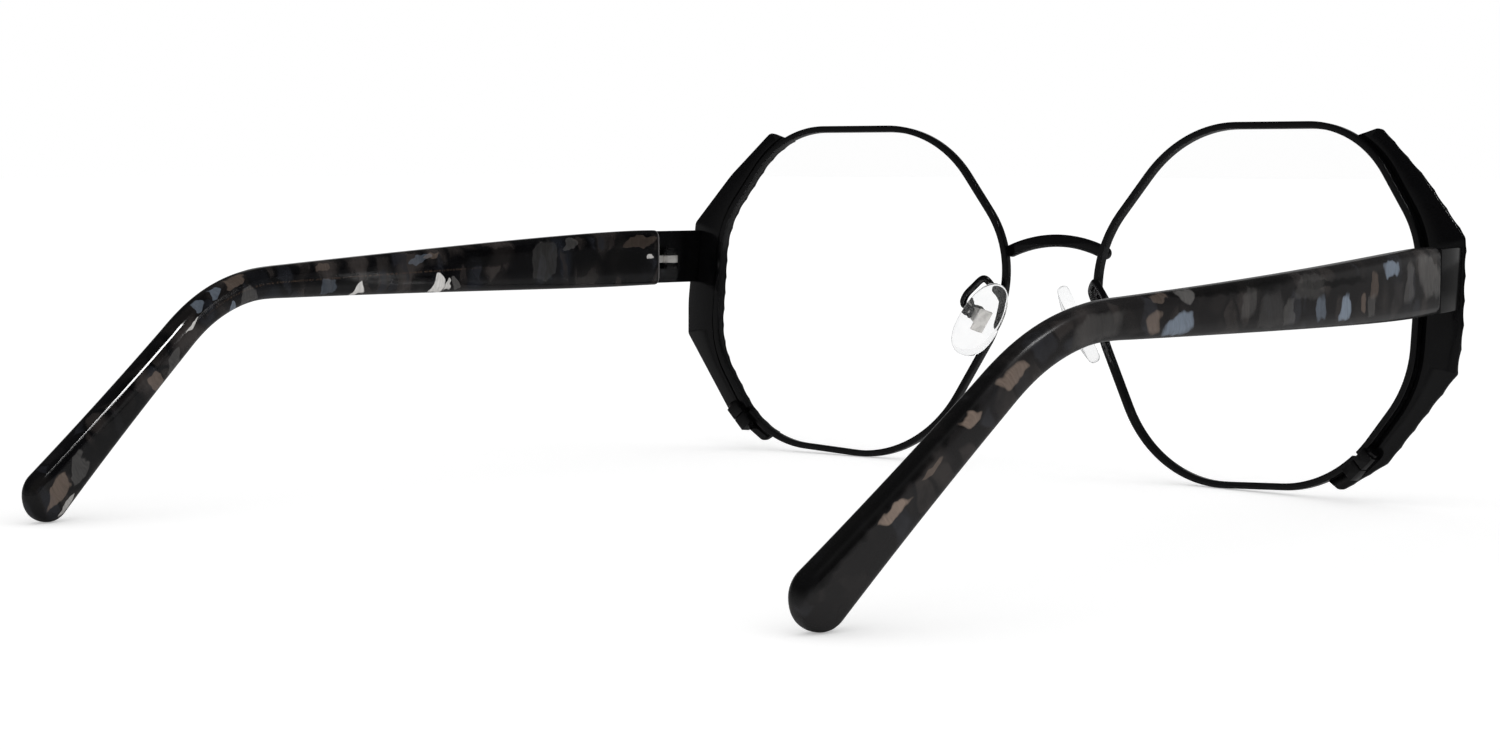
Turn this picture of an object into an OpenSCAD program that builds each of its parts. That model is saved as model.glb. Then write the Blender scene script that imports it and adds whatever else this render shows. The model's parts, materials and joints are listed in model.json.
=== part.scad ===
// Geometric eyeglasses: two octagonal metal rims, an arched bridge, a fluted trim plate on each
// outer side, rocking nose pads on bent wire arms, and folding acetate temples on a metal core.
// Lengths are in millimetres. +Z is up, -Y is the wearer's forward direction, +X the wearer's left.
// The glasses stand on their rims and temple tips, and the origin is on that floor.

/* [Lenses] */
// Width of one lens, edge to edge
lens_w = 55; // [50:0.5:58]
// Height of one lens
lens_h = 52; // [47:0.5:54]
// Distance between the two lenses at the nose
lens_gap = 17; // [15:0.5:21]
// Thickness of a lens
lens_t = 1.2; // [1:0.1:1.6]
// Radius of a lens's curved faces
lens_curve = 250; // [200:10:400]
// Depth that the lens edge reaches into the rim groove
lens_edge = 0.4; // [0.25:0.05:0.5]
// Thickness of the lens edge in the groove
lens_edge_t = 0.6; // [0.5:0.05:0.7]

/* [Rims] */
// Thickness of the rim wire, seen from the front
rim_t = 1; // [0.8:0.05:1.3]
// Depth of the rim wire, front to back
rim_d = 1.3; // [1.1:0.05:1.6]
// Clearance between a lens and its rim
lens_play = 0.03; // [0.02:0.01:0.06]
// Lean of the lenses, tops forward
tilt = 5.8; // [3:0.2:9]
// Turn of each lens around the face
wrap = 4.5; // [2:0.5:7]

/* [Bridge] */
// Height of the bridge bar
bridge_h = 1.9; // [1.5:0.1:2.4]
// Thickness of the bridge bar, front to back
bridge_t = 1.2; // [1:0.1:1.6]
// Height of the bar's middle above the lens centres
bridge_top = 8.9; // [7:0.1:10.5]
// Rise of the arch from its ends to its middle
bridge_rise = 1.6; // [1:0.1:2.2]
// Length of bar that laps over each rim and past it
bridge_lap = 0.7; // [0.5:0.1:1.2]

/* [Trim plates] */
// Reach of the plate beyond the lens opening, at mid height
plate_w = 6.6; // [6:0.1:8]
// Height of the plate's upper corner above the lens centre
plate_up = 10.2; // [9:0.2:11]
// Depth of the plate's lower corner below the lens centre
plate_low = 8.5; // [7.5:0.1:9.2]
// Width of the plate beyond the rim at its two ends
plate_end = 1.6; // [1.2:0.1:2.2]
// Bulge of the plate's upper slanting edge
plate_bow = 0.6; // [0.3:0.1:1]
// Bulge of the plate's upright outer edge
plate_swell = 0.45; // [0.2:0.05:0.6]
// Thickness of the plate in front of the rim
plate_t = 0.85; // [0.7:0.05:1.2]
// Depth of the rebate that the rim sits in
plate_step = 0.35; // [0.2:0.05:0.5]
// Gap between the rim and the wall of that rebate
plate_channel = 0.8; // [0.6:0.1:1.2]
// Inset of the front of the plate's upright edge from its back
plate_edge = 0.2; // [0.15:0.05:0.4]
// Distance from the lens opening to the plate's inner edge
plate_inset = 0.15; // [0.1:0.05:0.4]
// Spacing of the flutes across the plate's face, in degrees round the lens
flute_step = 5.6; // [4.5:0.1:8]
// Depth of a flute at the plate's inner edge
flute_depth = 0.2; // [0.15:0.01:0.25]
// Lean of the flutes, deeper at the outer edge, in degrees
flute_lean = 2.6; // [1:0.1:3.2]

/* [Rim locks] */
// Direction of the lock round the lower outer corner
lock_angle = -46; // [-50:1:-42]
// Length of each lock block along the rim
lock_l = 2.2; // [1.8:0.1:2.6]
// Width of the lock blocks, outwards from the rim
lock_w = 2; // [1.9:0.1:2.4]
// Depth of the lock blocks, front to back
lock_d = 2.1; // [2:0.1:2.6]
// Slit between the two blocks
lock_slit = 0.16; // [0.1:0.02:0.3]
// Radius of the lock screw
lock_screw_r = 0.5; // [0.4:0.05:0.6]

/* [Endpieces] */
// Length of the strap between the plate and the temple
strap_l = 9.6; // [9:0.1:12]
// Height of the strap
strap_h = 8.6; // [7.5:0.1:10]
// Thickness of the strap
strap_t = 1.2; // [1:0.1:1.5]
// Height of the strap's middle above the lens centre
strap_z = 4.8; // [4:0.1:5.6]
// Outward splay of the strap
splay = 10; // [6:0.5:12]

/* [Hinges] */
// Radius of the hinge knuckles
knuckle_r = 1.3; // [1.15:0.05:1.5]
// Height of the middle knuckle, on the temple
knuckle_mid = 1.2; // [1:0.05:1.6]
// Height of each outer knuckle, on the endpiece
knuckle_out = 1; // [0.8:0.05:1.5]
// Distance from the pin back to the temple's front face
pin_setback = 2.7; // [2.6:0.1:3.6]
// Distance of the knuckles below the strap's middle
hinge_drop = 0.3; // [0.1:0.1:0.8]
// Radius of the hinge screw
hinge_screw_r = 0.55; // [0.45:0.05:0.65]
// Clearance of the turning knuckle, all round
hinge_play = 0.04; // [0.03:0.01:0.08]

/* [Temples] */
// Length of the acetate along its middle
temple_l = 136; // [130:1:145]
// Thickness of the temple
temple_t = 3.4; // [3.2:0.1:4]
// Height of the temple at the hinge
temple_h = 9; // [8.7:0.1:10]
// Added height of the temple's belly, a little behind the hinge
temple_belly = 0.6; // [0.3:0.1:0.9]
// Height of the temple at the ear bend
temple_h_bend = 4.3; // [4:0.1:6]
// Height of the temple near its tip
temple_h_tip = 7.4; // [5.8:0.1:8]
// Distance along the temple to the start of the ear bend
bend_at = 80.5; // [75:0.5:83]
// Length of the ear bend
bend_l = 19; // [16:1:28]
// Drop of the tip behind the ear, in degrees
bend_drop = 37.6; // [30:0.1:42]
// Inward heading of the temple behind the bend, in degrees
inward = 9; // [5:0.5:11]
// Gap between the strap and the temple
seam_gap = 0.1; // [0.06:0.02:0.2]
// Height of the core wire
core_h = 1.9; // [1.5:0.1:2.4]
// Thickness of the core wire
core_t = 1; // [0.8:0.1:1.3]

/* [Nose pads] */
// Height of a nose pad
pad_h = 12.8; // [11.6:0.2:14]
// Width of a nose pad
pad_w = 6.8; // [6.2:0.1:7.8]
// Thickness of a nose pad
pad_t = 2.6; // [2:0.1:3]
// Distance of the pad's middle from the mid-plane
pad_x = 8.7; // [8.4:0.1:9.6]
// Distance of the pad's middle behind the lens centres
pad_y = 3.8; // [3.3:0.1:4.6]
// Depth of the pad's middle below the lens centres
pad_z = 3.8; // [3.2:0.1:4.6]
// Turn of the pad's face towards the wearer, in degrees
pad_turn = 35; // [30:1:40]
// Downward look of the pad's face, in degrees
pad_look = 25; // [21:1:28]
// Forward roll of the pad, in degrees
pad_roll = 20; // [17:1:24]
// Radius of the pad arm's wire
arm_r = 0.55; // [0.45:0.05:0.6]
// Radius of the pad screw
pad_screw_r = 0.35; // [0.3:0.05:0.4]

/* [Hidden] */
$fn = 48;

black = [0.03, 0.03, 0.035];
steel = [0.72, 0.7, 0.67];
marble = [0.16, 0.15, 0.16];
clear = [0.86, 0.9, 0.93, 0.4];

// Half of the rim opening, from the lens centre
open_x = lens_w/2 - lens_edge;
open_y = lens_h/2 - lens_edge;
half_pd = (lens_w + lens_gap)/2;

// The octagon's eight corners round the lens centre, from the upper outer one: across and up as
// shares of half the opening, then the rounding as a share of its half width.
CORNERS = [
    [1, 0.38, 0.55], [0.6, 0.99, 0.57], [-0.49, 1, 0.7], [-1.06, 0.25, 0.59],
    [-0.935, -0.23, 0.44], [-0.517, -1.025, 0.725], [0.6, -0.97, 0.655], [0.997, -0.39, 0.57]
];
UPPER_CORNER = 1;
LOCK_CORNER = 6;

function unit(v) = v/norm(v);
function at_angle(a) = [cos(a), sin(a)];
function nearest_turn(a) = a - 360*round(a/360);

// A corner of a polygon, with what its arc needs: the arc's centre, radius, start and turn
function corner_arc(a, p, b, r) =
    let (
        to_a = unit(a - p),
        to_b = unit(b - p),
        half = acos(to_a*to_b)/2,
        centre = p + unit(to_a + to_b)*r/sin(half),
        from = p + to_a*r/tan(half) - centre,
        to = p + to_b*r/tan(half) - centre,
        start = atan2(from.y, from.x)
    )
    [centre, r, start, nearest_turn(atan2(to.y, to.x) - start)];

// Points of a polygon whose corners [x, y, radius] are rounded, with a number of steps on each
function rounded(corners, steps) = [
    for (i = [0:len(corners) - 1])
        let (
            n = len(corners),
            before = corners[(i + n - 1) % n],
            after = corners[(i + 1) % n],
            c = corners[i],
            arc = corner_arc([before.x, before.y], [c.x, c.y], [after.x, after.y], c[2])
        )
        for (k = [0:steps]) arc[0] + arc[1]*at_angle(arc[2] + arc[3]*k/steps)
];

// The corners of the lens opening, moved outwards by d, with their roundings
function opening_corners(d) =
    let (
        n = len(CORNERS),
        base = [for (c = CORNERS) [c.x*open_x, c.y*open_y]]
    )
    [
        for (i = [0:n - 1])
            let (
                p = base[i],
                to_a = unit(base[(i + n - 1) % n] - p),
                to_b = unit(base[(i + 1) % n] - p),
                half = acos(to_a*to_b)/2,
                q = p - unit(to_a + to_b)*d/sin(half)
            )
            [q.x, q.y, CORNERS[i][2]*open_x + d]
    ];

// The lens opening moved outwards by d
function opening(d) = rounded(opening_corners(d), 9);

// Directions of the lens plane: outwards, up and forward, and a point given in them
OUT = [cos(wrap), sin(wrap)*cos(tilt), sin(wrap)*sin(tilt)];
UP = [0, -sin(tilt), cos(tilt)];
FORE = [sin(wrap), -cos(wrap)*cos(tilt), -cos(wrap)*sin(tilt)];
function on_lens(p) = [half_pd, 0, 0] + p.x*OUT + p.y*UP + p.z*FORE;

// Draws in the left lens's plane: x outwards, y up, z forward, from the lens centre
module lens_plane() {
    rotate([tilt, 0, 0]) translate([half_pd, 0, 0]) rotate([90, 0, wrap]) children();
}

// The trim plate, as seen from the front
plate_x = open_x + plate_w;
plate_front = rim_d/2 + plate_t;
plate_back = rim_d/2 - plate_step;
plate_round = 1.2;

// The rim's outer edge at one corner, and a point beyond it by d in a direction from its arc's centre
function rim_corner(i) =
    let (c = opening_corners(rim_t))
    corner_arc([c[i - 1].x, c[i - 1].y], [c[i].x, c[i].y], [c[i + 1].x, c[i + 1].y], c[i][2]);
function beyond(arc, angle, d) = arc[0] + (arc[1] + d)*at_angle(angle);
upper_arc = rim_corner(UPPER_CORNER);
lock_arc = rim_corner(LOCK_CORNER);
upper_end = beyond(upper_arc, 54, plate_end + 1.1);
upper_mid = [(plate_x + upper_end.x)/2, (plate_up + upper_end.y)/2];

// The plate's outline, with its upright outer edge moved inwards by d
function plate_outline(d) =
    let (
        m = upper_mid + plate_bow*at_angle(46),
        w = beyond(lock_arc, -39, plate_end + 1.5),
        e = beyond(lock_arc, -61.5, plate_end + 0.3),
        u_in = beyond(upper_arc, 67, -1.4*rim_t),
        e_in = beyond(lock_arc, -68, -1.8*rim_t)
    )
    rounded([
        [upper_end.x, upper_end.y, plate_round],
        [u_in.x, u_in.y, 0.4],
        [0, 0, 1],
        [e_in.x, e_in.y, 0.4],
        [e.x, e.y, plate_round],
        [w.x, w.y, 5],
        [plate_x - d, -plate_low, plate_round],
        [plate_x + plate_swell - d, -plate_low/3, 25],
        [plate_x - d, plate_up, plate_round],
        [m.x, m.y, 16]
    ], 6);

// The strap starts flush with the plate's outer edge, at the plate's back face
strap_v = (strap_z + plate_x*sin(wrap)*sin(tilt))/cos(tilt);
strap_root = on_lens([plate_x, strap_v, plate_back]);
strap_start = [strap_root.x, strap_root.y, strap_z];
module strap_place() {
    translate(strap_start) rotate([0, 0, -splay]) children();
}

// The hinge pin, seen from the strap's start: x outwards, y back
pin_x = -(strap_t + 0.2 + knuckle_r);
pin_y = strap_l + seam_gap - pin_setback;
pin_z = -hinge_drop;
knuckle_gap = 0.03;
module pin_place() {
    strap_place() translate([pin_x, pin_y, pin_z]) children();
}

// The temple's middle line, from its front face to its tip, for a slope of its straight part
STEPS = 44;
step_l = temple_l/STEPS;
function heading(s) = splay - (splay + inward)*pow(min(1, max(0, s)/(bend_at + 18.5)), 0.85);
function pitch(s, slope) = slope*max(0, min(1, s/6))
    + (bend_drop - slope)*max(0, min(1, (s - bend_at)/bend_l));
function aim(s, slope) =
    [sin(heading(s))*cos(pitch(s, slope)), cos(heading(s))*cos(pitch(s, slope)), -sin(pitch(s, slope))];
temple_front = strap_start + (strap_l + seam_gap)*[sin(splay), cos(splay), 0]
    - temple_t/2*[cos(splay), -sin(splay), 0];
function middle_line(slope) = [
    for (i = 0, p = temple_front; i <= STEPS; i = i + 1, p = p + step_l*aim((i - 0.5)*step_l, slope)) p
];

// The slope that brings the tips down to the floor that the rims stand on
tip_r = temple_h_tip/2;
function rim_low(p) = min(on_lens([p.x, p.y, rim_d/2]).z, on_lens([p.x, p.y, -rim_d/2]).z);
rim_bottom = min([for (p = opening(rim_t)) rim_low(p)]);
level_low = middle_line(0)[STEPS].z + tip_r*sin(bend_drop) - tip_r;
slope = asin((level_low - rim_bottom)/(bend_at + bend_l/2 - 3));
MIDDLE = middle_line(slope);

// The temple's height along its length, and its rounding at the tip
height_end = bend_at + 4.5;
function growth(s) = pow(max(0, min(1, (s - height_end)/(temple_l - height_end))), 2.2);
function temple_height(s) =
    temple_h + (temple_h_bend - temple_h)*min(1, s/height_end)
    + temple_belly*s/20*exp(1 - s/20)
    + (temple_h_tip - temple_h_bend)*growth(s);
function tip_share(s) = sqrt(1 - pow(max(0, (s - temple_l + tip_r)/tip_r), 2));

// Distances along the temple at which its sections stand, closer in the round of the tip
STATIONS = [
    for (i = [0:STEPS]) if (i*step_l < temple_l - tip_r - 0.5) i*step_l,
    for (k = [0:8]) temple_l - tip_r + tip_r*sin(k*90/8.5)
];

// A rounded bar section with 4 points on each corner, across by up
function bar_section(w, h, r) = [
    for (k = [0:3])
        let (c = [(w/2 - r)*(k == 0 || k == 3 ? 1 : -1), (h/2 - r)*(k < 2 ? 1 : -1)])
        for (j = [0:3]) c + r*at_angle(90*k + 30*j)
];

// One ring of points round the middle line at distance s, from a section across by up
function ring(s, section) =
    let (
        d = aim(s, slope),
        across = unit(cross(d, [0, 0, 1])),
        up = cross(across, d),
        k = min(STEPS - 1, floor(s/step_l)),
        f = s/step_l - k,
        middle = (1 - f)*MIDDLE[k] + f*MIDDLE[k + 1]
    )
    [for (q = section) middle + q.x*across + q.y*up];

function temple_ring(s) =
    let (share = tip_share(s), h = temple_height(s)*share, t = temple_t*sqrt(share))
    ring(s, bar_section(t, h, min(1.15, 0.45*min(t, h))));
function core_ring(i, play) = ring(i*step_l, bar_section(core_t + 2*play, core_h + 2*play, 0.15));

// Faces that join rings a to b of n points each, in a solid whose outside they are
function sides(rings, n, start) = [
    for (i = [0:rings - 2])
        for (k = [0:n - 1])
            let (a = start + i*n + k, b = start + i*n + (k + 1) % n)
            each [[a, b, b + n], [a, b + n, a + n]]
];
function turned(faces) = [for (f = faces) [f[0], f[2], f[1]]];
function fan(n, start) = [for (k = [1:n - 2]) [start, start + k + 1, start + k]];

// A tube of rings, closed at both ends
module swept(rings) {
    n = len(rings[0]);
    m = len(rings);
    points = [for (r = rings) each r];
    polyhedron(points, concat(sides(m, n, 0), fan(n, 0), turned(fan(n, (m - 1)*n))));
}

// A tube of rings with a blind hole of rings from its first end
module swept_with_hole(rings, hole) {
    n = len(rings[0]);
    m = len(rings);
    start = m*n;
    points = [for (r = concat(rings, hole)) each r];
    rim = [
        for (k = [0:n - 1])
            let (k2 = (k + 1) % n)
            each [[k2, k, start + k], [k2, start + k, start + k2]]
    ];
    polyhedron(points, concat(
        sides(m, n, 0),
        turned(fan(n, (m - 1)*n)),
        turned(sides(len(hole), n, start)),
        fan(n, start + (len(hole) - 1)*n),
        rim
    ));
}

// The core runs between these steps, and the hinge's leaf fills the hole before it
CORE_START = 1;
CORE_END = STEPS - 4;

// Where the nose pad sits, and its box behind it
pad_middle = [pad_x, pad_y, -pad_z];
pad_turns = [pad_roll, -pad_look, -pad_turn];
module pad_place() {
    translate(pad_middle) rotate(pad_turns) children();
}
// The pad screw's distance behind the pad's middle, and the box round it
boss_r = 0.8;
boss_x = pad_t/2 + 0.5 + boss_r;
box_wall = 0.4;
box_play = 0.12;
box_back = boss_x + boss_r + box_play;
box_half = 0.8;
insert_h = 3.6;
insert_w = 1.9;
insert_t = 0.5;

// The same turns as a function, for the arm's route
function turn_x(p, a) = [p.x, p.y*cos(a) - p.z*sin(a), p.y*sin(a) + p.z*cos(a)];
function turn_y(p, a) = [p.x*cos(a) + p.z*sin(a), p.y, -p.x*sin(a) + p.z*cos(a)];
function turn_z(p, a) = [p.x*cos(a) - p.y*sin(a), p.x*sin(a) + p.y*cos(a), p.z];
function on_pad(p) =
    pad_middle + turn_z(turn_y(turn_x(p, pad_turns.x), pad_turns.y), pad_turns.z);

// The arm leaves the rim's back at the nose, rises in an arch and curls down to the box
arm_root = on_lens([-open_x - rim_t/2 + 0.35, -0.6, -rim_d/2 + 0.05]);
arm_end = on_pad([box_back + box_wall, 0, 0]);
ARM = [
    arm_root,
    arm_root + [-0.05, 0.8, 0.9],
    arm_root + [0.3, 1.8, 2.1],
    arm_end + [-1.4, -0.7, 4.7],
    arm_end + [0.1, -0.05, 3.4],
    arm_end + [1.3, 0.35, 2],
    on_pad([box_back + box_wall + 1.45, 1.1, -0.35]),
    arm_end
];

// A smooth curve through points, and a round tube along it
function through(p, i, t) =
    let (
        n = len(p) - 1,
        a = p[max(0, i - 1)],
        b = p[i],
        c = p[min(n, i + 1)],
        d = p[min(n, i + 2)]
    )
    0.5*(2*b + (c - a)*t + (2*a - 5*b + 4*c - d)*t*t + (3*b - a - 3*c + d)*t*t*t);
function smooth(p, k) = [
    for (i = [0:len(p) - 2]) for (j = [0:k - 1]) through(p, i, j/k),
    p[len(p) - 1]
];
function tube_rings(path, r, sides_n) = [
    for (i = [0:len(path) - 1])
        let (
            d = unit(path[min(len(path) - 1, i + 1)] - path[max(0, i - 1)]),
            side = unit(cross(d, [0.82, -0.57, 0])),
            other = cross(side, d)
        )
        [for (k = [0:sides_n - 1]) path[i] + r*(cos(360*k/sides_n)*side + sin(360*k/sides_n)*other)]
];

// The object's front and back, so that the origin is half way between them
bridge_root = -(open_x + rim_t/2)*sin(wrap) - rim_d/2*cos(wrap);
front_y = (bridge_root - bridge_t)*cos(tilt) - (bridge_top + bridge_h/2)*sin(tilt);
tip_y = max([for (s = STATIONS) for (p = temple_ring(s)) p.y]);
module stand() {
    translate([0, -(front_y + tip_y)/2, -rim_bottom]) children();
}
module left() {
    stand() children();
}
module right() {
    stand() mirror([1, 0, 0]) children();
}

// Arched bar that joins the rims in front, with round ends that lap over them
module bridge() {
    reach = half_pd - open_x - rim_t + bridge_lap;
    drop = bridge_rise*pow(reach/(reach - bridge_lap/2), 2);
    radius = (reach*reach + drop*drop)/(2*drop);
    swing = asin(reach/radius);
    color(black)
    left() rotate([tilt, 0, 0]) rotate([90, 0, 0]) translate([0, bridge_top - radius, -bridge_root])
        linear_extrude(bridge_t) {
            intersection() {
                difference() {
                    circle(r = radius + bridge_h/2, $fn = 240);
                    circle(r = radius - bridge_h/2, $fn = 240);
                }
                polygon([[0, 0], 2*radius*at_angle(90 - swing), 2*radius*at_angle(90 + swing)]);
            }
            for (side = [-1, 1]) rotate(side*swing) translate([0, radius]) circle(r = bridge_h/2);
        }
}

groove_play = lens_play + 0.02;

// Rim wire with its lens groove, slit at the lock
module eyewire() {
    color(black)
    lens_plane() difference() {
        translate([0, 0, -rim_d/2]) linear_extrude(rim_d) difference() {
            polygon(opening(rim_t));
            polygon(opening(0));
        }
        translate([0, 0, -lens_edge_t/2]) linear_extrude(lens_edge_t + 2*groove_play)
            polygon(opening(lens_edge + groove_play));
        lock_place() translate([-2*rim_t, -lock_slit/2, -rim_d]) cube([3*rim_t, lock_slit, 2*rim_d]);
    }
}

// Curved lens with the edge that sits in the groove
module lens() {
    edge_reach = (open_x + open_y)/2;
    middle = edge_reach*edge_reach/(2*lens_curve);
    color(clear)
    lens_plane() {
        intersection() {
            translate([0, 0, -rim_d - lens_t]) linear_extrude(2*(rim_d + middle + lens_t))
                polygon(opening(-lens_play));
            translate([0, 0, middle + lens_t/2 - lens_curve]) difference() {
                sphere(r = lens_curve, $fn = 96);
                sphere(r = lens_curve - lens_t, $fn = 96);
            }
        }
        translate([0, 0, -lens_edge_t/2]) linear_extrude(lens_edge_t) difference() {
            polygon(opening(lens_edge));
            polygon(opening(-lens_t));
        }
    }
}

// Crescent plate in front of the outer rim, with a rebate for the rim and a fluted face
module trim_plate() {
    flute_r = pow(open_x*flute_step*PI/360, 2)/(2*flute_depth);
    color(black)
    lens_plane() difference() {
        union() {
            translate([0, 0, plate_back]) linear_extrude(rim_d/2 - plate_back) difference() {
                polygon(plate_outline(0));
                polygon(opening(rim_t + plate_channel));
            }
            translate([0, 0, rim_d/2]) linear_extrude(plate_t - plate_edge) difference() {
                polygon(plate_outline(0));
                polygon(opening(plate_inset));
            }
            translate([0, 0, plate_front - plate_edge]) linear_extrude(plate_edge) difference() {
                polygon(plate_outline(plate_edge));
                polygon(opening(plate_inset));
            }
        }
        for (a = [-10*flute_step:flute_step:10*flute_step])
            rotate([0, 0, a]) translate([open_x, 0, plate_front - flute_depth + flute_r/cos(flute_lean)])
                rotate([0, 90 + flute_lean, 0]) translate([0, 0, -open_x/2])
                    cylinder(r = flute_r, h = 2*plate_w + open_x/2, $fn = 64);
    }
}

// Draws at the rim lock: x outwards from the rim's outer edge, y along the rim, z forward
module lock_place() {
    translate([lock_arc[0].x, lock_arc[0].y, 0]) rotate([0, 0, lock_angle]) translate([lock_arc[1], 0, 0])
        children();
}
lock_front = plate_back - 0.05;
lock_screw_x = lock_w - lock_screw_r - 0.55;
lock_screw_z = lock_front - lock_d/2;

// One block of the rim lock, shaped to the rim and bored for the screw
module lock_block(side, bore) {
    color(black)
    lens_plane() difference() {
        lock_place() difference() {
            translate([-0.6, side > 0 ? lock_slit/2 : -lock_slit/2 - lock_l, lock_front - lock_d])
                cube([lock_w + 0.6, lock_l, lock_d]);
            translate([lock_screw_x, 0, lock_screw_z]) rotate([90, 0, 0])
                cylinder(r = bore, h = 3*lock_l, center = true);
        }
        translate([0, 0, -2*lock_d]) linear_extrude(4*lock_d) polygon(opening(rim_t));
    }
}

// Screw along the rim that draws the two blocks together
module lock_screw() {
    head_r = lock_screw_r + 0.35;
    head_h = 0.5;
    color(black)
    lens_plane() lock_place() translate([lock_screw_x, lock_slit/2 + lock_l, lock_screw_z]) rotate([90, 0, 0])
        difference() {
            union() {
                cylinder(r = lock_screw_r, h = 2*lock_l + lock_slit);
                translate([0, 0, -head_h]) cylinder(r = head_r, h = head_h);
            }
            translate([-head_r, -0.12, -2*head_h]) cube([2*head_r, 0.24, 1.4*head_h]);
        }
}

// Strap from the plate's back to the temple, cut to lie on the plate
module endpiece() {
    color(black)
    difference() {
        strap_place() translate([-strap_t, -plate_w, -strap_h/2]) cube([strap_t, plate_w + strap_l, strap_h]);
        lens_plane() translate([0, -lens_h, plate_back]) cube([3*plate_x, 2*lens_h, lens_w]);
    }
}

knuckle_reach = knuckle_mid/2 + knuckle_gap + knuckle_out;

// The two outer knuckles, brazed to the strap's inner face
module hinge_front() {
    color(black)
    pin_place() difference() {
        for (side = [-1, 1]) translate([0, 0, side*(knuckle_mid/2 + knuckle_gap + knuckle_out/2)]) {
            cylinder(r = knuckle_r, h = knuckle_out, center = true);
            translate([0, -knuckle_r, -knuckle_out/2]) cube([-pin_x - strap_t, 2*knuckle_r, knuckle_out]);
        }
        cylinder(r = hinge_screw_r + 0.02, h = 4*knuckle_reach, center = true);
    }
}

// Screw that is the hinge's pin, with a slotted head
module hinge_screw() {
    head_h = 0.3;
    head_r = knuckle_r - 0.3;
    end_h = 0.1;
    color(steel)
    pin_place() difference() {
        union() {
            translate([0, 0, -knuckle_reach - end_h])
                cylinder(r = hinge_screw_r, h = 2*knuckle_reach + end_h);
            translate([0, 0, knuckle_reach]) cylinder(r = head_r, h = head_h);
        }
        translate([-head_r, -0.14, knuckle_reach + head_h/2]) cube([2*head_r, 0.28, head_h]);
    }
}

// The turning knuckle and the leaf that carries the temple
module hinge_rear() {
    tongue_x = -strap_t - 0.2 - core_t;
    tongue_end = strap_l + 0.8*seam_gap;
    leaf_start = strap_l + 0.4*seam_gap;
    leaf_t = core_t - 0.1;
    leaf_h = core_h - 0.1;
    color(steel)
    strap_place() difference() {
        union() {
            translate([pin_x, pin_y, pin_z]) cylinder(r = knuckle_r - 0.1, h = knuckle_mid, center = true);
            translate([tongue_x, pin_y, pin_z - knuckle_mid/2])
                cube([core_t, tongue_end - pin_y, knuckle_mid]);
            translate([-temple_t/2 - leaf_t/2, leaf_start, -leaf_h/2])
                cube([leaf_t, strap_l + seam_gap - leaf_start + CORE_START*step_l, leaf_h]);
        }
        translate([pin_x, pin_y, pin_z])
            cylinder(r = hinge_screw_r + hinge_play, h = 2*knuckle_mid, center = true);
    }
}

// Acetate temple, moulded round its core
module temple() {
    color(marble)
    swept_with_hole([for (s = STATIONS) temple_ring(s)], [for (i = [0:CORE_END]) core_ring(i, 0.03)]);
}

// Metal core inside the acetate
module core_wire() {
    color(steel)
    swept([for (i = [CORE_START:CORE_END]) core_ring(i, 0)]);
}

// Wire arm from the rim to the pad's box
module pad_arm() {
    color(black)
    swept(tube_rings(smooth(ARM, 4), arm_r, 10));
}

// Open box that holds the pad's boss between two walls
module pad_box() {
    color(black)
    pad_place() difference() {
        translate([boss_x - boss_r, -box_half - box_play - box_wall, -boss_r])
            cube([box_back + box_wall - boss_x + boss_r, 2*(box_half + box_play + box_wall), 2*boss_r]);
        translate([boss_x - 2*boss_r, -box_half - box_play, -2*boss_r])
            cube([box_back - boss_x + 2*boss_r, 2*(box_half + box_play), 4*boss_r]);
        translate([boss_x, 0, 0]) rotate([90, 0, 0]) cylinder(r = pad_screw_r + 0.02, h = 6, center = true);
    }
}

// Screw that the pad rocks on
module pad_screw() {
    half = box_half + box_play + box_wall;
    head_h = 0.3;
    color(steel)
    pad_place() translate([boss_x, 0, 0]) rotate([90, 0, 0]) {
        cylinder(r = pad_screw_r, h = 2*half, center = true);
        translate([0, 0, half]) cylinder(r = pad_screw_r + 0.25, h = head_h);
    }
}

// Metal plate inside the pad, with the boss that the screw goes through
module pad_insert() {
    color(steel)
    pad_place() difference() {
        union() {
            translate([0, -insert_w/2, -insert_h/2]) cube([insert_t, insert_w, insert_h]);
            translate([0, -box_half, -boss_r]) cube([boss_x, 2*box_half, 2*boss_r]);
            translate([boss_x, 0, 0]) rotate([90, 0, 0])
                cylinder(r = boss_r, h = 2*box_half, center = true);
        }
        translate([boss_x, 0, 0]) rotate([90, 0, 0])
            cylinder(r = pad_screw_r + 0.04, h = 4*box_half, center = true);
    }
}

// The pad as seen from the nose: an egg with its wide end down
function blunt(v) = sign(v)*pow(abs(v), 0.86);
PAD = [
    for (a = [0:9:351])
        [pad_w/2*blunt(cos(a))*(1 - 0.1*sin(a)), pad_h/2*blunt(sin(a))]
];

// Clear silicone pad, domed on the nose side, with the insert's pocket in its back
module nose_pad() {
    dome = (pad_h*pad_h/4 + pad_t*pad_t/4)/pad_t + 4;
    pocket = 0.02;
    color(clear)
    pad_place() difference() {
        intersection() {
            translate([dome - pad_t/2, 0, 0]) sphere(r = dome, $fn = 240);
            translate([pad_t/2, 0, 0]) rotate([0, -90, 0]) linear_extrude(pad_t) rotate(-90) polygon(PAD);
        }
        translate([0, -insert_w/2 - pocket, -insert_h/2 - pocket])
            cube([insert_t + pocket, insert_w + 2*pocket, insert_h + 2*pocket]);
        translate([0, -box_half - pocket, -boss_r - pocket])
            cube([pad_t, 2*(box_half + pocket), 2*(boss_r + pocket)]);
    }
}

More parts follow.
